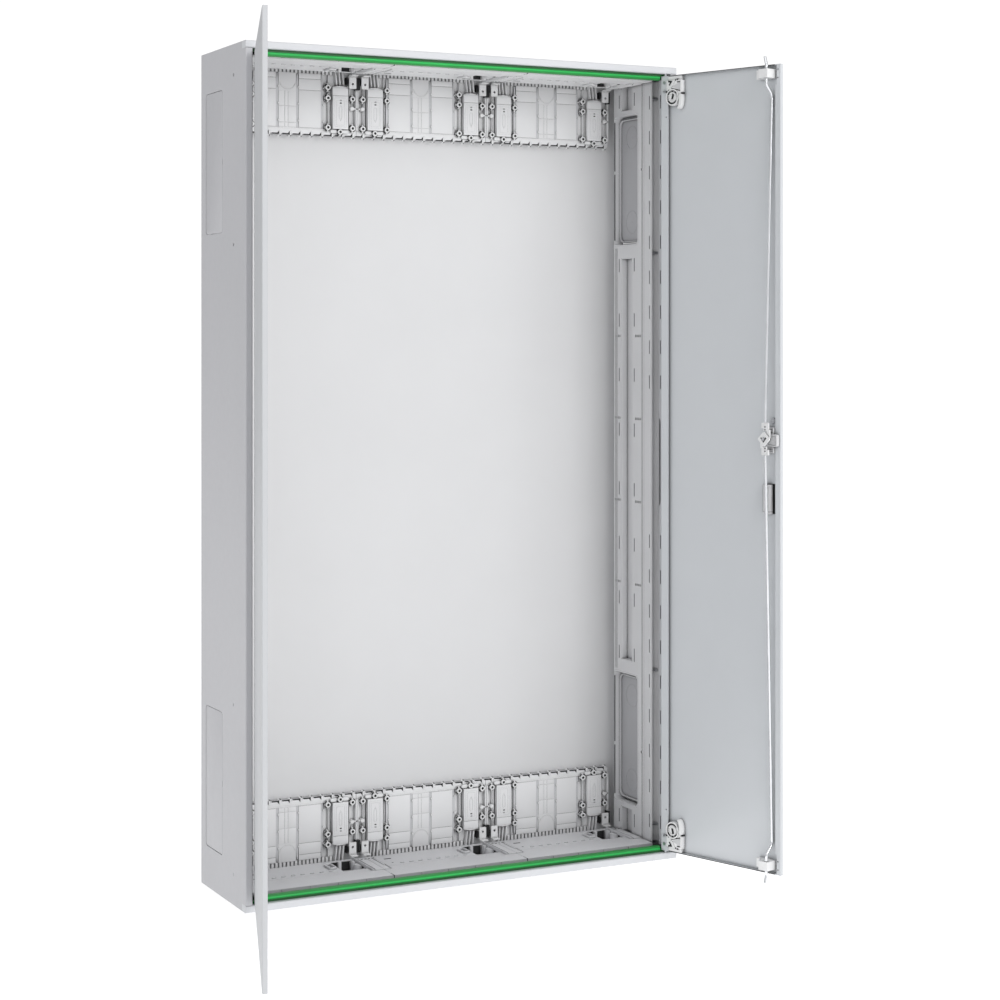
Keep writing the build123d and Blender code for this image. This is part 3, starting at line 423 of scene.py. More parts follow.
def dress_cad():
    """Gives each CAD node the first look with a part of its name, or the body's."""
    for name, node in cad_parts.items():
        look = next((look for look, parts in CAD_LOOKS if any(part in name for part in parts)), "body")
        node.data.materials.clear()
        node.data.materials.append(LOOK[look])


# ---------------------------------------------------------------- rear flange modules
RIBS = (-66.3, -20.5, 16.2, 61.6)
GROOVE = 2.4                 # half the width of the groove at each rib
BOSS_OUT = 22.8              # the bosses' distance from a cover's middle


def rear_module():
    """One upper rear flange: plate, panels with seams, grooves, comb and the edge band with its tabs."""
    s = Shape()
    top = HEIGHT - SHEET
    edge = REAR_LOW + 15
    half = MODULE_HALF
    face = -REAR_FACE - 3
    windows = [(side * COVER_X - 13, side * COVER_X + 13, COVER_LOW + 8, COVER_HIGH - 8) for side in (-1, 1)]
    s.lattice(-half, half, edge, top, windows, -REAR_FACE + 2, -SHEET)
    seams = (edge + 2, HEIGHT - 50.5, HEIGHT - 31, HEIGHT - 21.5)
    for x0, x1 in ((RIBS[0] + GROOVE, RIBS[1] - GROOVE), (RIBS[2] + GROOVE, RIBS[3] - GROOVE)):
        s.box(x0, x1, face + 0.9, -REAR_FACE + 3, edge, top - 20)
        for z0, z1 in zip(seams, seams[1:]):
            s.box(x0, x1, face, -REAR_FACE + 3, z0, z1 - 0.8)
    rows = (edge + 2, HEIGHT - 107, HEIGHT - 79, HEIGHT - 53)
    middle = (RIBS[1] + GROOVE, RIBS[2] - GROOVE)
    s.box(*middle, face + 0.65, -REAR_FACE + 3, edge, top - 20)
    for z0, z1 in zip(rows, rows[1:]):
        for x0, x1 in ((middle[0], -7.6), (-6.9, -1.4), (-0.7, middle[1])):
            s.box(x0, x1, face + 0.15, -REAR_FACE + 3, z0, z1 - 0.7)
    hook = arc(-1.5, HEIGHT - 36, 15.0, 190, 345, 20) + arc(-1.5, HEIGHT - 36, 14.2, 345, 190, 20)
    s.prism(hook, face - 0.1, -REAR_FACE)
    for x in RIBS:
        for z in (HEIGHT - 46, HEIGHT - 75, HEIGHT - 104):
            s.disc(x + 2.2, z, 1.5, face - 1.2, -REAR_FACE, steps=12)
    teeth = 35
    for k in range(teeth):
        x = -half + 4 + k * (2 * half - 8) / (teeth - 1)
        if abs(abs(x) - 114) > 8:
            s.box(x - 2.1, x + 2.1, -REAR_FACE - 1.6, -REAR_FACE + 3, top - 20.5, top - 8)
    s.box(-half, half, -REAR_FACE - 3.5, -REAR_FACE + 2, top - 8, top)
    s.box(-half, half, face + 0.4, -SHEET - 0.5, REAR_LOW + 5.6, edge)
    s.box(-half, half, face + 0.1, -REAR_FACE + 2, edge - 1.2, edge + 0.6)
    for x in tab_places():
        s.box(x, x + 2.6, face - 0.9, -REAR_FACE + 2, REAR_LOW + 0.4, REAR_LOW + 9.6)
        s.box(x - 2.6, x + 2.6, face - 0.9, -REAR_FACE + 1, REAR_LOW + 0.4, REAR_LOW + 2.4)
    for side in (-1, 1):
        cover_surround(s, side)
    return s.mesh("rear_module", 0.25)


def groove_floors():
    """The floors of the four grooves between a rear flange's panels, greyer as painted shade."""
    s = Shape()
    foot, neck, top = REAR_LOW + 15.6, HEIGHT - 48, HEIGHT - 24
    for x in RIBS:
        outline = [(x - GROOVE, neck), (x - 1.0, top), (x + 1.0, top), (x + GROOVE, neck),
                   (x + GROOVE, foot), (x - GROOVE, foot)]
        s.prism(outline, -REAR_FACE - 1.9, -REAR_FACE + 1)
    return s.mesh("groove_floors", 0.0)


def tab_places():
    """The small tabs along a rear flange's free edge, from its middle."""
    return [(k - 6) * FIELD / 13 + 2.2 for k in range(13)]


def cover_surround(s, side):
    """The raised walls and fins round one cover plate."""
    centre = side * COVER_X
    top = HEIGHT - SHEET
    for x in (centre - 16.8, centre + 16.8):
        s.box(x - 0.9, x + 0.9, -REAR_FACE - 3.4, -REAR_FACE + 2, COVER_LOW - 4, COVER_HIGH + 1)
    for x in (centre - 19.6, centre + 19.6):
        s.box(x - 0.7, x + 0.7, -REAR_FACE - 4, -REAR_FACE + 2, COVER_LOW, COVER_HIGH + 18)
    s.prism(rect(centre - 17, centre + 17, COVER_LOW - 7, COVER_LOW - 1.0, 3), -REAR_BOSS + 5, -REAR_FACE + 2)
    root, tip = top - 8, COVER_HIGH + 1.5
    for k in (-1, 0, 1):
        x = centre + 6.5 * k
        fin = [(x - 2.4, root), (x - 0.2, root), (x + 2.8, tip), (x + 0.6, tip)]
        s.prism(fin, -REAR_FACE - 6, -REAR_FACE + 3)
    x = side * (MODULE_HALF - 1.2)
    s.box(x - 1.2, x + 1.2, -REAR_BOSS + 5, -REAR_FACE + 2, REAR_LOW + 15, COVER_HIGH + 2)


def boss_places(side):
    """Where the bosses stand round one cover plate, from the module's middle."""
    centre = side * COVER_X
    inner, outer = side * (COVER_X - BOSS_OUT), side * (COVER_X + BOSS_OUT)
    places = [(x, z) for x in (inner, outer) for z in (COVER_LOW + 2, COVER_HIGH - 22)]
    return places + [(inner, COVER_HIGH - 4), (centre, COVER_LOW - 5)]


def bosses():
    """The bright collars round the screw holes, with the joint's clips, for one module."""
    s = Shape()
    for side in (-1, 1):
        for x, z in boss_places(side):
            s.hoop(x, z, 4.7, 2.3, -REAR_BOSS + 0.4, -REAR_FACE + 2, steps=16)
            s.prism(rect(x - 5.6, x + 5.6, z - 5.2, z + 5.2, 2), -REAR_BOSS + 4.5, -REAR_BOSS + 6)
            s.box(x - 1.3, x + 1.3, -REAR_BOSS + 3, -REAR_FACE + 2, z - 7, z + 7)
        outer = side * (COVER_X + BOSS_OUT)
        z = COVER_LOW + 36.5
        clip = sorted((outer - side * 5, side * MODULE_HALF))
        s.box(*clip, -REAR_BOSS + 5, -REAR_FACE + 2, z - 1.4, z + 1.4)
        s.disc(outer, z, 3.6, -REAR_BOSS + 3, -REAR_FACE + 2, steps=12)
    return s.mesh("bosses", 0.3)


def boss_shade_marks():
    """Painted shade for one module: dark discs in its bosses' screw holes, and dark pieces in the gaps round
    its bosses, covers and tabs.
    """
    s = Shape()
    for side in (-1, 1):
        for x, z in boss_places(side):
            s.disc(x, z, 2.3, -REAR_BOSS + 1.6, -REAR_FACE + 1, steps=12)
            for start in (20, 110, 200, 290):
                s.hoop(x, z, 6.4, 4.9, -REAR_BOSS + 3.6, -REAR_BOSS + 5, "y", start, start + 50, 5)
        centre = side * COVER_X
        for z in (COVER_LOW + 44, COVER_LOW + 48.6):
            s.box(centre - 1.5, centre + 1.9, -REAR_BOSS + 0.2, -REAR_BOSS + 1, z, z + 1.7)
        s.box(*sorted((side * 121.2, side * 124.6)), -REAR_BOSS - 0.5, -REAR_FACE, HEIGHT - 47, HEIGHT - 26)
        s.box(*sorted((side * 104.4, side * 106.4)), -REAR_BOSS + 2, -REAR_FACE, HEIGHT - 38, HEIGHT - 26)
    for x in tab_places():
        s.box(x - 12.4, x - 0.9, -REAR_FACE - 2.9, -REAR_FACE + 1, REAR_LOW + 4.2, REAR_LOW + 5.7)
        heel = [(x - 3.2, REAR_LOW + 5.6), (x - 0.4, REAR_LOW + 5.6), (x - 0.4, REAR_LOW + 9.2)]
        s.prism(heel, -REAR_FACE - 3.0, -REAR_FACE + 1)
    return s.mesh("boss_shade_marks", 0.1)


def drop(r, waist, tip):
    """A drop's outline: round above with radius r, narrowing below the waist to the tip."""
    x = 0.2
    foot = [(x - r, COVER_LOW + waist), (x, COVER_LOW + tip), (x + r, COVER_LOW + waist)]
    return arc(x, COVER_LOW + 37.5, r, 0, 180, 10) + foot


def cover_plate():
    """A snap-in cover: arched towards the wall, with nested frames, a drop-shaped mark and two slots."""
    s = Shape()
    bow = 2.6
    half = 14.3
    high = COVER_HIGH - 0.5
    arch = [(half - 2 * half * k / 12, high - bow * (2 * k / 12 - 1) ** 2) for k in range(13)]
    s.prism([(-half, COVER_LOW), (half, COVER_LOW)] + arch, -REAR_BOSS + 1.5, -REAR_FACE + 0.5)
    slots = [(-1.5, 1.9, z, z + 2) for z in (COVER_LOW + 44, COVER_LOW + 48.6)]
    s.lattice(-half, half, COVER_LOW, COVER_HIGH - 17.6, slots, -REAR_BOSS + 0.35, -REAR_BOSS + 2.5)
    s.box(-half, half, -REAR_BOSS + 0.35, -REAR_BOSS + 2, COVER_HIGH - 17, COVER_HIGH - 4)
    for inset, height in ((3.2, 54), (6.4, 50)):
        x, z0, z1 = half - inset, COVER_LOW + inset, COVER_LOW + height
        inner = rect(0.7 - x, x - 0.7, z0 + 0.7, z1 - 0.7, 1)
        s.ring(rect(-x, x, z0, z1, 1.5), inner, -REAR_BOSS, -REAR_BOSS + 1)
    s.ring(drop(3.0, 20, 13.5), drop(2.0, 20.6, 15.8), -REAR_BOSS - 0.2, -REAR_BOSS + 1)
    return s.mesh("cover_plate", 0.25)


# ---------------------------------------------------------------- top and bottom flange modules
WELL = (62.0, 104.6, -124.0, -50.0)
LEDGE = (122.0, 184.0)       # the ledge's rear and front, from the back


def flange_module():
    """A lower flange: plateau, ledge, low apron, cable well and the strips that bridge to its neighbours."""
    s = Shape()
    half = MODULE_HALF
    rear, lip = -FLOOR_REAR, -FLOOR_FRONT
    s.lattice(-half, half, -128, rear - 14, [WELL], PLATEAU_H - 2.2, PLATEAU_H, "z")
    s.box(-half, half, lip, rear - 1, SHEET + 0.2, SHEET + 2.4)
    x0, x1, y0, y1 = WELL
    for a0, a1, b0, b1 in ((x0 - 1.5, x0, y0, y1), (x0, x1, y1, y1 + 1.5), (x1, x1 + 1.4, y0, y1)):
        s.box(a0, a1, b0, b1, SHEET + 2, PLATEAU_H - 1)
    s.box(x1 - 0.2, x1 + 1.4, -142, y1 + 2, PLATEAU_H - 1, PLATEAU_H + 5)
    s.box(x1 - 6, x1 - 0.6, -66, -56, SHEET + 2, PLATEAU_H + 1.2)
    s.prism(arc(x1, -82, 9.5, 90, 270, 10), SHEET + 2, PLATEAU_H, "z")
    s.box(x0 + 14, x0 + 19, y1 - 8, y1 - 1, SHEET + 2, PLATEAU_H + 1)
    s.box(x1 - 3.6, x1, -124, -101.5, SHEET + 2, PLATEAU_H - 3)
    s.box(-half, half, -LEDGE[1], -LEDGE[0], LEDGE_H - 2.4, LEDGE_H)
    s.box(-half, half, -LEDGE[0] - 1.4, -LEDGE[0], PLATEAU_H - 1, LEDGE_H + 0.2)
    s.box(-half, half, lip, -LEDGE[1] + 2, 11.5, 12.8)
    for x, span in ((109.6, 3.4), (-112.0, -3.4)):
        s.box(x - 0.6, x + 0.6, -142, -62, PLATEAU_H - 1, PLATEAU_H + 4.4)
        s.box(*sorted((x, x + span)), -118, -70, PLATEAU_H + 2.6, PLATEAU_H + 4)
    for a0, a1 in ((x1 + 1.4, half), (-half, -113)):
        s.box(a0, a1, -142, -60, PLATEAU_H - 1, PLATEAU_H + 2.8)
    hook = rect(44, 58, -97, -66, 5)
    s.ring(hook, rect(46.4, 55.6, -94.6, -68.4, 2.6), PLATEAU_H - 1, PLATEAU_H + 3.6, "z")
    for x in mark_places():
        s.hoop(x, -104, 4.2, 3.0, PLATEAU_H - 1, PLATEAU_H + 1.4, "z", 200, 380, 12)
    teeth = 34
    for k in range(teeth):
        x = -half + 4 + k * (2 * half - 8) / (teeth - 1)
        s.box(x - 1.3, x + 1.3, rear - 15, rear - 1, SHEET + 1, PLATEAU_H - 3)
    return s.mesh("flange_module", 0.25)


def mark_places():
    """The row of moulded crescents on a flange's plateau, from its middle."""
    return [17.0 * k - 76 for k in range(8)]


def ledge_face():
    """The panels of the ledge's front face, with a narrow seam between two."""
    s = Shape()
    panels = 5
    width = 2 * MODULE_HALF / panels
    for k in range(panels):
        x = -MODULE_HALF + k * width
        s.box(x + 0.45, x + width - 0.45, -LEDGE[1] - 1.6, -LEDGE[1] + 0.4, 13.0, LEDGE_H - 0.8)
        s.box(x + 5, x + 10, -LEDGE[1] - 2.4, -LEDGE[1], 15.0, 16.6)
    return s.mesh("ledge_face", 0.25)


def seal_lip():
    """The lip along a flange's front, beside the door seal, with its row of hooks, its light green-tinted
    colour a painted highlight and painted reflection of the seal.
    """
    s = Shape()
    lip = -FLOOR_FRONT
    hooks = 26
    s.box(-MODULE_HALF, MODULE_HALF, lip, lip + 2.4, 12.2, 15.0)
    for k in range(hooks):
        x = -MODULE_HALF + (k + 0.2) * 2 * MODULE_HALF / hooks
        s.box(x, x + 5.6, lip + 2, lip + 4.2, 12.2, 16.0)
    return s.mesh("seal_lip", 0.2)


def flange_depths():
    """Painted shade in a lower flange: dark pieces in the slots of its well's walls, its marks, holes and end
    gaps.
    """
    s = Shape()
    x0, x1, y0, y1 = WELL
    s.box(x1 - 0.5, x1 - 0.1, -101, -94, SHEET + 2, PLATEAU_H - 0.5)
    s.box(x0 + 20, x1 - 6, y1 - 1.2, y1 - 0.4, SHEET + 3, PLATEAU_H - 0.6)
    s.box(x0 + 2, x0 + 13, y1 - 1.2, y1 - 0.4, SHEET + 3, PLATEAU_H - 0.6)
    s.box(x1 - 2.5, x1 - 0.3, -56, -50, SHEET + 3, PLATEAU_H - 0.6)
    s.prism(rect(-95, -81, -71, -66.5, 2), PLATEAU_H - 1, PLATEAU_H + 0.12, "z")
    s.prism(rect(49, 54, -80, -76, 1), PLATEAU_H - 1, PLATEAU_H + 0.12, "z")
    s.disc(-90.8, -98, 1.7, PLATEAU_H - 1, PLATEAU_H + 0.12, "z", 10)
    for x in mark_places():
        s.hoop(x, -104, 3.1, 1.9, PLATEAU_H - 1, PLATEAU_H + 0.12, "z", 180, 330, 10)
    for x in (116, 122.5, -114.3, -120.5):
        s.box(x - 1.6, x + 1.6, -66, -62, PLATEAU_H + 2, PLATEAU_H + 2.95)
    for x in (MODULE_HALF, -MODULE_HALF):
        s.box(x - 0.35, x + 0.35, -LEDGE[1] - 1.7, -LEDGE[1] + 14, 13.0, LEDGE_H + 0.1)
    return s.mesh("flange_depths", 0.0)


# ---------------------------------------------------------------- side profiles
def corner_gap():
    """A dark box, painted shade in the opening between the top right flange, its profile and the rail."""
    s = Shape()
    s.box(374.8, 385.5, -203, -176, HEIGHT - 19.8, HEIGHT - 13.5)
    return s.mesh("corner_gap", 0.2)


def long_slots(ys):
    """The upright slots at the given depths, spaced from the middle as (y, z)."""
    rises = [54 + 100 * k for k in range(4)] + [654]
    return [(y, HEIGHT / 2 + sign * rise) for sign in (-1, 1) for rise in rises for y in ys]


def row_slots():
    """The heights of the slots that repeat along the profile's front edge and the rim."""
    return [HEIGHT / 2 + sign * (142.5 + 62.5 * k) for sign in (-1, 1) for k in range(9)]


def side_profile():
    """The right inner profile: a moulded channel with slots, row marks, a trough and entry recesses."""
    s = Shape()
    face, thick = PROFILE_X, 2.5
    low, high = 20.0, HEIGHT - 20
    trough = (-104.0, -64.0, 333.0, HEIGHT - 333)
    shorts = [(-104.0, -64.0, low - 1, 65.0), (-104.0, -64.0, HEIGHT - 65, high + 1)]
    recesses = [(-126.0, -37.5, 72.0, 310.0), (-126.0, -37.5, HEIGHT - 310, HEIGHT - 72)]
    slots = [(y - 1.5, y + 1.5, z - 12, z + 12) for y, z in long_slots((-56, -112))]
    slots += [(-168.5, -165.5, z - 12, z + 12) for z in row_slots()]
    for k in (-1.5, -0.5, 0.5, 1.5):
        z = HEIGHT / 2 + 150 * k
        for start in (-61, -136):
            slots += [(start + 5.6 * n, start + 5.6 * n + 4.2, z - 2.2, z + 2.2) for n in range(4)]
    for z in (175, HEIGHT - 175):
        slots += [(-38.8, -36, z - 3, z + 3), (-140, -136, z - 2, z + 2)]
    s.lattice(-139, -36, low, high, [trough] + shorts + recesses + slots, face, face + thick, "x")
    s.lattice(-171, -148.5, low, high, slots, face, face + thick, "x")
    s.box(face + 0.4, face + thick, -147.4, -143, low, high)
    s.box(face + 1.4, face + thick, -141.8, -139, low, high)
    s.box(face + 1.8, face + thick + 0.6, -172, -138, low, high)
    s.box(face + 0.6, face + 4, -36.2, -35, low, high)
    for y0, y1 in ((-49.6, -48.6), (-46.4, -45.0), (-42.6, -41.6)):
        for z0, z1 in ((315, 623), (HEIGHT - 623, HEIGHT - 315), (628, HEIGHT - 628)):
            s.box(face - 0.8, face + 1, y0, y1, z0, z1)
    s.box(face + 0.2, face + thick, -173.8, -170.5, low, high)
    gutter = arc(face + 10, -170, 9.0, 180, 0, 12) + arc(face + 10, -170, 7.6, 0, 180, 12)
    s.prism(gutter, low, high, "z")
    floor = 393.0
    bed = floor - thick
    for y0, y1, z0, z1 in [trough] + [(a, b, max(c, low), min(d, high)) for a, b, c, d in shorts]:
        s.box(bed, floor, y0, y1, z0, z1)
        for y in (y0, y1):
            s.box(face + 0.3, floor, y - 1.2, y + 1.2, z0, z1)
        s.prism([(bed, y0), (bed - 7, y0), (bed - 1, y0 + 13), (bed, y0 + 18)], z0, z1, "z")
        for z in (z0, z1):
            if low < z < high:
                s.box(face + 0.3, floor, y0, y1, z - 1.2, z + 1.2)
    plate = 395.5
    for y0, y1, z0, z1 in recesses:
        outer = rect(y0 - 1.2, y1 + 1, z0 - 1.2, z1 + 1.2, 11, 8)
        inner = rect(y0 + 1.4, y1, z0 + 1.4, z1 - 1.4, 9, 8)
        s.ring(outer, inner, face - 0.3, plate, "x")
        for y, z, y_way, z_way, start in ((y0, z0, 1, 1, 180), (y1, z0, -1, 1, 270),
                                          (y0, z1, 1, -1, 90), (y1, z1, -1, -1, 0)):
            corner = [(y - 0.2 * y_way, z - 0.2 * z_way)]
            corner += arc(y + 11 * y_way, z + 11 * z_way, 11.5, start, start + 90, 8)
            s.prism(corner, face, face + thick, "x")
        tray = rect(y0 + 9.6, y1 - 0.5, z0 + 7, z1 - 7, 13, 8)
        s.ring(tray, rect(y0 + 11, y1 - 1.9, z0 + 8.4, z1 - 8.4, 11.6, 8), plate - 7, plate, "x")
    return s.mesh("side_profile", 0.5)


def slot_depths():
    """Painted shade: dark pieces for the depth seen through the right profile's slots and the rim's slots
    beside them.
    """
    s = Shape()
    face, rim = PROFILE_X + 0.8, WIDTH / 2 - RIM_W + 0.6
    for y, z in long_slots((-56, -112)):
        s.box(face, face + 1.6, y - 1.45, y + 1.45, z - 11.9, z + 11.9)
    for z in row_slots():
        s.box(face, face + 1.6, -168.4, -165.6, z - 11.9, z + 11.9)
        s.box(rim, rim + 0.7, -190.9, -188.1, z - 11.9, z + 11.9)
    return s.mesh("slot_depths", 0.0)


def entry_tray():
    """The inner plate of a cable entry, low and right, with two round knock-outs."""
    s = Shape()
    low, high = 76.0, 303.0
    s.prism(rect(-115.6, -38.2, low, high, 12, 8), 392.6, 395.4, "x")
    for z in (low + 36, high - 36):
        s.hoop(-78, z, 21, 20.2, 392.2, 393, "x", steps=40)
        s.disc(-78, z, 1.0, 392.2, 393, "x", steps=10)
    return s.mesh("entry_tray", 0.4)


def entry_cover():
    """The flush outer cover of a low right cable entry, with its prying notch."""
    s = Shape()
    outside, low, high = WIDTH / 2, 69.8, 304.2
    front, back, r, notch = -110.2, -24.9, 7.2, 187.0
    outline = arc(back - r, low + r, r, 270, 360, 6) + arc(back - r, high - r, r, 0, 90, 6)
    outline += arc(front + r, high - r, r, 90, 180, 6)
    outline += [(front, notch + 5), (front + 1.6, notch + 4.4)]
    outline += [(front + 1.6, notch - 4.4), (front, notch - 5)]
    outline += arc(front + r, low + r, r, 180, 270, 6)
    s.prism(outline, outside - SHEET, outside - 0.25, "x")
    s.hoop(-62, notch, 1.5, 0.8, outside - 0.4, outside - 0.2, "x", steps=12)
    return s.mesh("entry_cover", 0.35)


# ---------------------------------------------------------------- gaskets
def gasket_base():
    """The door seal's strip along the rail, coloured darker as painted shade under the bead."""
    s = Shape()
    half = DOOR_EDGE - 0.1
    s.box(-half, half, -215.0, -DEPTH + RAIL_D + 0.05, GASKET_TOP - 3.8, GASKET_TOP - 0.05)
    return s.mesh("gasket_base", 0.0)


def gasket_flank():
    """The seal's inner flank, sloping back from the bead, coloured darker as painted shade."""
    s = Shape()
    low, rear = GASKET_TOP - GASKET_H + 0.05, -207.2
    slope = [(SEAL_FRONT + 1.4, GASKET_TOP - 7.4), (SEAL_FRONT + 1.8, GASKET_TOP - 10.2),
             (SEAL_FRONT + 4.0, low), (rear, low), (rear, GASKET_TOP - 4.0)]
    s.prism(slope, -SEAL_HALF, SEAL_HALF, "x")
    return s.mesh("gasket_flank", 0.0)


def gasket_bead():
    """The seal's round bead, shorter than its base where the doors turn."""
    s = Shape()
    bead = arc(SEAL_FRONT + 2.4, GASKET_TOP - 5.9, 2.3, 75, 285, 14)
    s.prism(bead + [(-210, GASKET_TOP - 8.2), (-210, GASKET_TOP - 3.6)], -SEAL_HALF, SEAL_HALF, "x")
    return s.mesh("gasket_bead", 0.0)


# ---------------------------------------------------------------- door furniture (drawn shut, right-hand)
CUP_X = DOOR_EDGE - 28.0     # the hinge block's cup
CUP_Z = HINGE_LOW + 24
ROD_FACES = (LEVEL + 15.2, LEVEL + 17.0)
CRANK_FACE = LEVEL + 21.7


def at_hinge(s, s0, s1, h0, h1, z0, z1):
    """A box by its distances from the hinged edge and from the door's inner level."""
    s.box(DOOR_EDGE - s1, DOOR_EDGE - s0, LEVEL + h0, LEVEL + h1, z0, z1)


def from_edge(*points):
    """An outline by its distances from the hinged edge."""
    return [(DOOR_EDGE - inset, z) for inset, z in points]


def hinge_carrier():
    """The upper hinge block: a moulded carrier with a slotted cup and a bent bar."""
    s = Shape()
    proud = HINGE_PROUD
    at_hinge(s, 14, 47, -6.4, 2.0, HINGE_LOW + 28, proud)
    at_hinge(s, 14, 47, -6.4, -0.5, proud - 1, DOOR_HIGH - SHEET)
    s.disc(CUP_X, CUP_Z, 15.0, LEVEL - 6, LEVEL + 2.0, steps=36)
    s.hoop(CUP_X, CUP_Z, 14.8, 12.4, LEVEL - 2, LEVEL + 3.2, steps=36)
    s.disc(CUP_X, CUP_Z, 9.4, LEVEL - 2, LEVEL + 2.8, steps=30)
    s.hoop(CUP_X, CUP_Z, 8.4, 6.6, LEVEL - 2, LEVEL + 3.6, steps=26)
    bend = from_edge((30.5, proud - 1.2), (26.6, proud - 9), (22.6, proud - 11.4),
                     (24.4, proud - 13), (29, proud - 10.4), (33, proud - 2))
    s.prism(bend, LEVEL - 3, LEVEL + 3.0)
    return s.mesh("hinge_carrier", 0.3)


def hinge_depths():
    """Painted shade: dark pieces in the upper hinge block's depths, its cup's slots and the gaps beside its
    bars.
    """
    s = Shape()
    rear, face, proud = LEVEL - 3, LEVEL + 2.95, HINGE_PROUD
    for s0, s1, z0, z1 in ((13.2, 16, -12, -9), (18.2, 21.4, -13.5, -4.5), (27, 30, -12.4, -9.2),
                           (17.8, 21, -3, 3.6), (34.8, 36.2, -31.5, -28.6), (39, 40.6, -32, -29.4)):
        at_hinge(s, s0, s1, -3, 2.95, CUP_Z - z1, CUP_Z - z0)
    slot = from_edge((29, CUP_Z + 7), (33, CUP_Z + 7), (30, CUP_Z - 3.5), (26.4, CUP_Z - 3.5))
    s.prism(slot, rear, face + 0.6)
    notch = from_edge((34.5, CUP_Z + 10.4), (33.6, CUP_Z + 8.2), (39, CUP_Z + 5.6), (40, CUP_Z + 7.6))
    s.prism(notch, rear, face)
    s.hoop(CUP_X, CUP_Z, 12.2, 9.8, rear, face, "y", 218, 330, 14)
    s.hoop(CUP_X, CUP_Z, 13.4, 11.6, rear, face, "y", 165, 186, 6)
    hook = from_edge((18, proud - 0.4), (27.6, proud - 1.6), (21.6, proud - 9.6),
                     (19.4, proud - 8.6), (22.4, proud - 4.0), (18, proud - 3.2))
    s.prism(hook, rear, LEVEL + 2.35)
    at_hinge(s, 38.6, 46.4, -3, 2.35, proud - 5.2, proud - 3.4)
    gap = from_edge((25.6, HINGE_LOW + 39.2), (25.6, HINGE_LOW + 40.8),
                    (46, HINGE_LOW + 35.4), (46, HINGE_LOW + 33.8))
    s.prism(gap, rear, LEVEL + 2.5)
    at_hinge(s, 45, 53, -3, 0.6, HINGE_LOW + 29.4, HINGE_LOW + 30.6)
    return s.mesh("hinge_depths", 0.0)


def hinge_web():
    """The triangular web between the hinge block's cup and its bow, in a greyer look as painted shade."""
    s = Shape()
    web = from_edge((27, HINGE_LOW + 43), (45.8, HINGE_LOW + 50), (45.8, HINGE_LOW + 36))
    s.prism(web, LEVEL - 3, LEVEL + 2.2)
    return s.mesh("hinge_web", 0.1)


def hinge_lip():
    """The door's folded lip where the hinge block sits under it."""
    s = Shape()
    at_hinge(s, 1.6, 15.9, -SHEET, -0.02, HEIGHT - 82.0, DOOR_HIGH - SHEET)
    return s.mesh("hinge_lip", 0.0)


def hinge_bow():
    """The bright bow beside the carrier: an upright bar, and a curved one round the cup."""
    s = Shape()
    low = HINGE_LOW
    bar = rect(DOOR_EDGE - 50, DOOR_EDGE - 46.6, low + 31.5, HINGE_PROUD - 0.5, 1.4)
    s.prism(bar, LEVEL - 6.3, LEVEL + 3.4)
    curve = from_edge((50, low + 28.6), (50, low + 18), (48.8, low + 10), (46, low + 4.4), (43, low + 2.6),
                      (39, low + 3.2), (42, low + 10), (43.2, low + 18), (43.2, low + 28.6))
    s.prism(curve, LEVEL - 6.3, LEVEL + 3.2)
    return s.mesh("hinge_bow", 0.7)


def lock_frame():
    """The lock's cover inside the door: a framed box between two ribbed ends."""
    s = Shape()
    low, high = HOUSING_Z - 21.8, HOUSING_Z + 21.8
    s.box(LOCK_X - 7.3, LOCK_X + 12.8, LEVEL - 6.4, LEVEL + 0.3, low, high)
    cover = rect(LOCK_X - 17.6, LOCK_X + 7.8, HOUSING_Z - 10.2, HOUSING_Z + 10.2, 3)
    s.prism(cover, LEVEL + 0.3, LEVEL + 6.6)
    s.ring(rect(LOCK_X - 17.8, LOCK_X + 4, HOUSING_Z - 10.4, HOUSING_Z + 10.4, 3.4),
           rect(LOCK_X - 15.6, LOCK_X + 1.8, HOUSING_Z - 8.2, HOUSING_Z + 8.2, 1.6), LEVEL + 6, LEVEL + 7.9)
    for k in range(6):
        x = LOCK_X - 13.8 + 2.6 * k
        s.box(x, x + 1.7, LEVEL + 6, LEVEL + 7.0, HOUSING_Z - 7.4, HOUSING_Z + 7.4)
    for way in (-1, 1):
        for k in range(4):
            z = HOUSING_Z + way * (11.6 + 2.7 * k)
            s.box(LOCK_X - 7, LOCK_X + 5.5, LEVEL, LEVEL + 5.4 - k, z - 0.7, z + 0.7)
        wall = sorted((HOUSING_Z + way * 10, HOUSING_Z + way * 21.6))
        s.box(LOCK_X - 7.2, LOCK_X - 5.6, LEVEL, LEVEL + 4, *wall)
    return s.mesh("lock_frame", 0.4)


def tub_shade_lines():
    """Painted shade: dark pieces along the foot and the far sides of the finger tub."""
    s = Shape()
    rear = LEVEL - 6.4
    s.box(LOCK_X - 0.2, LOCK_X + 1.2, rear, LEVEL - 5.2, TUB_LOW, TUB_HIGH)
    s.box(LOCK_X + 14.9, LOCK_X + 15.8, rear, LEVEL + 3.6, TUB_LOW + 4, TUB_HIGH - 1)
    s.box(LOCK_X + 1, LOCK_X + 15.5, rear, LEVEL + 3.4, TUB_HIGH - 0.7, TUB_HIGH)
    return s.mesh("tub_shade_lines", 0.4)


def tub_box():
    """The back of the handle's finger tub: a light box in the door."""
    s = Shape()
    rear = LEVEL - 6.4
    s.box(LOCK_X + 1, LOCK_X + 15, rear, LEVEL + 4.0, TUB_LOW + 4.4, TUB_HIGH - 0.6)
    s.box(LOCK_X + 1, LOCK_X + 15.6, rear, LEVEL + 2.6, TUB_LOW, TUB_LOW + 4)
    s.box(LOCK_X + 3.4, LOCK_X + 12.6, LEVEL + 3.8, LEVEL + 4.5, TUB_LOW + 7, TUB_HIGH - 3.6)
    return s.mesh("tub_box", 0.4)


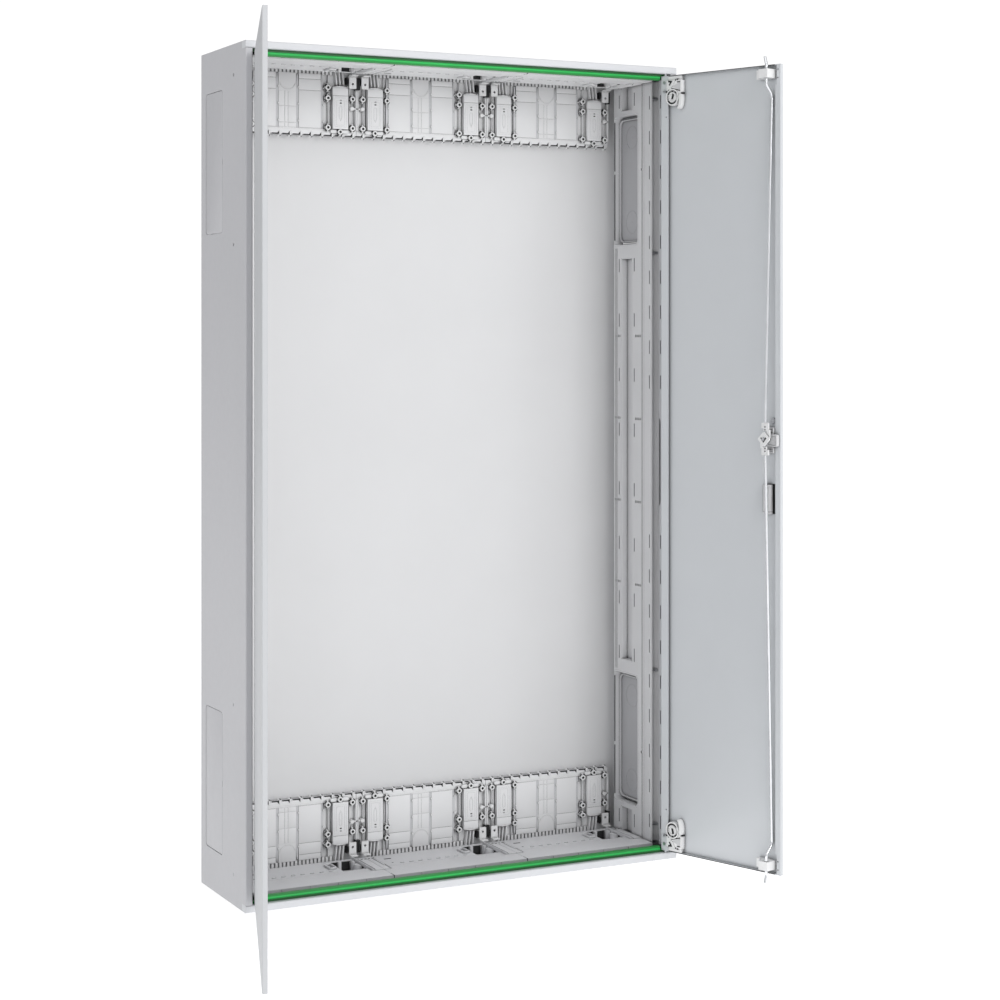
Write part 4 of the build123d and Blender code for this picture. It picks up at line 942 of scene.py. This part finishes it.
def dish():
    """The handle's plate outside the door, sunk where a finger goes."""
    s = Shape()
    plate = rect(LOCK_X - 14, LOCK_X + 16, LOCK_Z - 140, LOCK_Z + 48, 10, 8)
    s.prism(plate, -DEPTH - 2.9, -DEPTH - 0.05)
    s.ring(rect(LOCK_X - 5, LOCK_X + 14.8, TUB_LOW + 1, TUB_HIGH - 1, 3),
           rect(LOCK_X - 3.6, LOCK_X + 13.4, TUB_LOW + 2.4, TUB_HIGH - 2.4, 1.6), -DEPTH - 3.0, -DEPTH - 2.5)
    return s.mesh("dish", 0.9)


def crank_notch_shade():
    """A dark piece, painted shade in the angled notch of the crank plate's face, below the spindle's square
    end.
    """
    s = Shape()
    notch = [(LOCK_X - 6.6, LOCK_Z + 2.0), (LOCK_X - 4.4, LOCK_Z + 3.0), (LOCK_X, LOCK_Z - 2.4),
             (LOCK_X + 4.4, LOCK_Z + 3.0), (LOCK_X + 6.6, LOCK_Z + 2.0), (LOCK_X, LOCK_Z - 6.0)]
    s.prism(notch, CRANK_FACE - 0.4, CRANK_FACE + 0.25)
    return s.mesh("crank_notch_shade", 0.0)


def lug_holes(way):
    """Painted shade: dark discs in the two holes of a rod's end plate, the upper one with way 1."""
    s = Shape()
    for rise in (15.8, 20.6):
        s.disc(LOCK_X, LOCK_Z + way * rise, 1.38, *ROD_FACES, steps=12)
    return s.mesh("lug_holes", 0.0)


def fold_shadow():
    """The narrow dark gap along the right door's top fold."""
    s = Shape()
    s.box(DOOR_EDGE - 255, DOOR_EDGE - 17, LEVEL - 0.9, LEVEL + 0.1, DOOR_HIGH - 1.3, DOOR_HIGH - 0.1)
    return s.mesh("fold_shadow", 0.0)


# ---------------------------------------------------------------- putting the pieces in place
def fixed(name, data, place, look, replaces=()):
    """A piece of the cabinet's body."""
    return piece(name, data, place, "cabinet", look, replaces)


def place_flanges():
    rear, cover, grooves = rear_module(), cover_plate(), groove_floors()
    collars, dark = bosses(), boss_shade_marks()
    flange, depths, panels, lips = flange_module(), flange_depths(), ledge_face(), seal_lip()
    # The lower flanges take darker copies of the flange plastic for their shells and ledge faces: painted
    # shade.
    looks = {"top": ("module", "module"), "bottom": ("shaded_module", "shaded_ledge")}
    for z_flip, end in ((False, "top"), (True, "bottom")):
        covers, screws = [], []
        for name, field in FIELD_NAMES:
            tail = "_" + end + "_" + name
            place = drawn(z_flip, shift_x=field * FIELD)
            fixed("rear_flange_shell" + tail, rear, place, "module", replaces=["rear_flange" + tail])
            fixed("rear_flange_grooves" + tail, grooves, place, "shaded_module")
            fixed("rear_flange_collars" + tail, collars, place, "white")
            # Painted shade: dark pieces in the bosses' holes and in the gaps round bosses, covers and tabs.
            screws.append(fixed("rear_flange_shade_marks" + tail, dark, place, "painted_shade"))
            for side, letter in ((-1, "_a"), (1, "_b")):
                place = drawn(z_flip, shift_x=field * FIELD + side * COVER_X)
                covers.append(fixed("cover_plate" + tail + letter, cover, place, "module"))
            place = drawn(not z_flip, shift_x=field * FIELD)
            shell, front = looks[end]
            fixed("flange_shell" + tail, flange, place, shell, replaces=["flange" + tail])
            fixed("flange_front" + tail, panels, place, front)
            fixed("flange_lip" + tail, lips, place, "lip")
            fixed("flange_depths" + tail, depths, place, "painted_shade")
        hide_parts("rear_covers_" + end)
        if end == "top":
            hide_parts("module_screws")


def place_seals():
    base, flank, bead = gasket_base(), gasket_flank(), gasket_bead()
    for z_flip, end in ((False, "top"), (True, "bottom")):
        place = drawn(z_flip)
        fixed("seal_base_" + end, base, place, "gasket_base")
        fixed("seal_flank_" + end, flank, place, "gasket_flank")
        fixed("seal_bead_" + end, bead, place, "gasket", [end + "_gasket"])


def place_sides():
    profile, slots = side_profile(), slot_depths()
    tray, cover, gap = entry_tray(), entry_cover(), corner_gap()
    for x_flip, side in ((True, "left"), (False, "right")):
        fixed("slot_depths_" + side, slots, drawn(False, x_flip), "painted_shade")
        fixed("profile_shell_" + side, profile, drawn(False, x_flip), "profile", replaces=[side + "_profile"])
        for z_flip, end in ((True, "top"), (False, "bottom")):
            tail = "_" + side + "_" + end
            place = drawn(z_flip, x_flip)
            fixed("corner_gap" + tail, gap, drawn(not z_flip, x_flip), "painted_shade")
            fixed("entry_tray" + tail, tray, place, "entry", replaces=["entry_plate" + tail])
            fixed("entry_lid" + tail, cover, place, "wall", ["entry_cover" + tail])


def place_hinges():
    parts = (("carrier", hinge_carrier(), "white", "white_plastic"),
             ("depths", hinge_depths(), "painted_shade", "white_plastic"),
             ("bow", hinge_bow(), "white", "white_plastic"),
             # The web's greyer look on the white plastic is painted shade.
             ("web", hinge_web(), "lock", "white_plastic"),
             ("lip", hinge_lip(), "door", "painted_steel"))
    for side, door in ((-1, "left"), (1, "right")):
        for z_flip, end in ((False, "top"), (True, "bottom")):
            for part, data, look, slot in parts:
                replaces = [door + "_hinge_" + end] if part == "carrier" else ()
                name = "hinge_" + part + "_" + door + "_" + end
                piece(name, data, swung(side, z_flip), door + "_door", look, replaces)


def place_lock():
    shut, door = swung(1), "right_door"
    piece("lock_frame", lock_frame(), shut, door, "lock", ["lock_housing"])
    piece("crank_notch_shade", crank_notch_shade(), shut, "handle", "painted_shade")
    for way, rod in ((1, "upper"), (-1, "lower")):
        piece(rod + "_lug_holes", lug_holes(way), shut, rod + "_rod", "painted_shade")
    piece("fold_shadow_top", fold_shadow(), shut, door, "painted_shade")
    piece("fold_shadow_bottom", fold_shadow(), swung(1, True), door, "painted_shade")
    piece("tub_shade_lines", tub_shade_lines(), shut, door, "painted_shade")
    piece("tub_box", tub_box(), shut, door, "lock")
    piece("handle_plate", dish(), shut, door, "handle", ["handle_dish"])


# ---------------------------------------------------------------- camera, light and floor
EYE = (-1.56431, -3.54894, 0.23009)
TURN = -27.52                # degrees from looking straight at the back
LENS = 78.35616


def set_camera():
    """The view: standing left of the doors and level, with a long lens."""
    camera = bpy.data.cameras.new("camera")
    camera.sensor_width = 36.0
    camera.lens = LENS
    camera.shift_x = -0.06
    camera.shift_y = -0.16691
    camera.clip_end = 60
    obj = bpy.data.objects.new("camera", camera)
    obj.location = EYE
    obj.rotation_euler = (math.radians(90), 0, math.radians(TURN))
    bpy.context.scene.collection.objects.link(obj)
    bpy.context.scene.camera = obj


def area_light(name, at, size, power):
    """A soft rectangular lamp aimed at the cabinet's middle."""
    light = bpy.data.lights.new(name, "AREA")
    light.shape = "RECTANGLE"
    light.size, light.size_y = size
    light.energy = power
    obj = bpy.data.objects.new(name, light)
    obj.location = at
    obj.rotation_euler = (-Vector(at)).to_track_quat("-Z", "Y").to_euler()
    bpy.context.scene.collection.objects.link(obj)


def set_light():
    """A pale studio: a white surround, brighter in front than behind, a large soft key and a faint fill."""
    scene = bpy.context.scene
    scene.view_settings.view_transform = "Standard"
    world = bpy.data.worlds.new("studio")
    scene.world = world
    world.use_nodes = True
    tree = world.node_tree
    background = tree.nodes["Background"]
    background.inputs["Color"].default_value = (0.98, 0.985, 1.0, 1)
    around = tree.nodes.new("ShaderNodeTexCoord")
    split = tree.nodes.new("ShaderNodeSeparateXYZ")
    depth = tree.nodes.new("ShaderNodeMapRange")
    for name, value in (("From Min", -1.0), ("From Max", 1.0), ("To Min", 0.78), ("To Max", 0.36)):
        depth.inputs[name].default_value = value
    tree.links.new(around.outputs["Generated"], split.inputs["Vector"])
    tree.links.new(split.outputs["Y"], depth.inputs["Value"])
    tree.links.new(depth.outputs["Result"], background.inputs["Strength"])
    bright = tree.nodes.new("ShaderNodeBackground")
    bright.inputs["Color"].default_value = (1, 1, 1, 1)
    bright.inputs["Strength"].default_value = 1.05
    path = tree.nodes.new("ShaderNodeLightPath")
    mix = tree.nodes.new("ShaderNodeMixShader")
    tree.links.new(path.outputs["Is Camera Ray"], mix.inputs["Fac"])
    tree.links.new(background.outputs["Background"], mix.inputs[1])
    tree.links.new(bright.outputs["Background"], mix.inputs[2])
    tree.links.new(mix.outputs["Shader"], tree.nodes["World Output"].inputs["Surface"])
    area_light("key", (1.2, -4.1, 2.3), (2.6, 2.6), 64)
    area_light("fill", (-3.2, -2.6, 1.2), (2.2, 3.0), 6)


def set_floor():
    """A plain pale floor, a little below the wall-hung cabinet."""
    data = bpy.data.meshes.new("studio_floor")
    size, level = 14.0, -0.78
    corners = [(-size, -size), (size, -size), (size, size), (-size, size)]
    data.from_pydata([(x, y, level) for x, y in corners], [], [(0, 1, 2, 3)])
    nodes = Nodes("studio_floor")
    nodes.link(nodes.ramp(nodes.noise(3, 2), (0.93, 0.93, 0.93), (0.95, 0.95, 0.95)), "Base Color")
    nodes.set(Roughness=0.9, Emission_Color=(1, 1, 1, 1), Emission_Strength=0.55)
    data.materials.append(nodes.material)
    floor = bpy.data.objects.new("studio_floor", data)
    bpy.context.scene.collection.objects.link(floor)


dress_cad()
set_camera()
set_light()
set_floor()
place_flanges()
place_seals()
place_sides()
place_hinges()
place_lock()
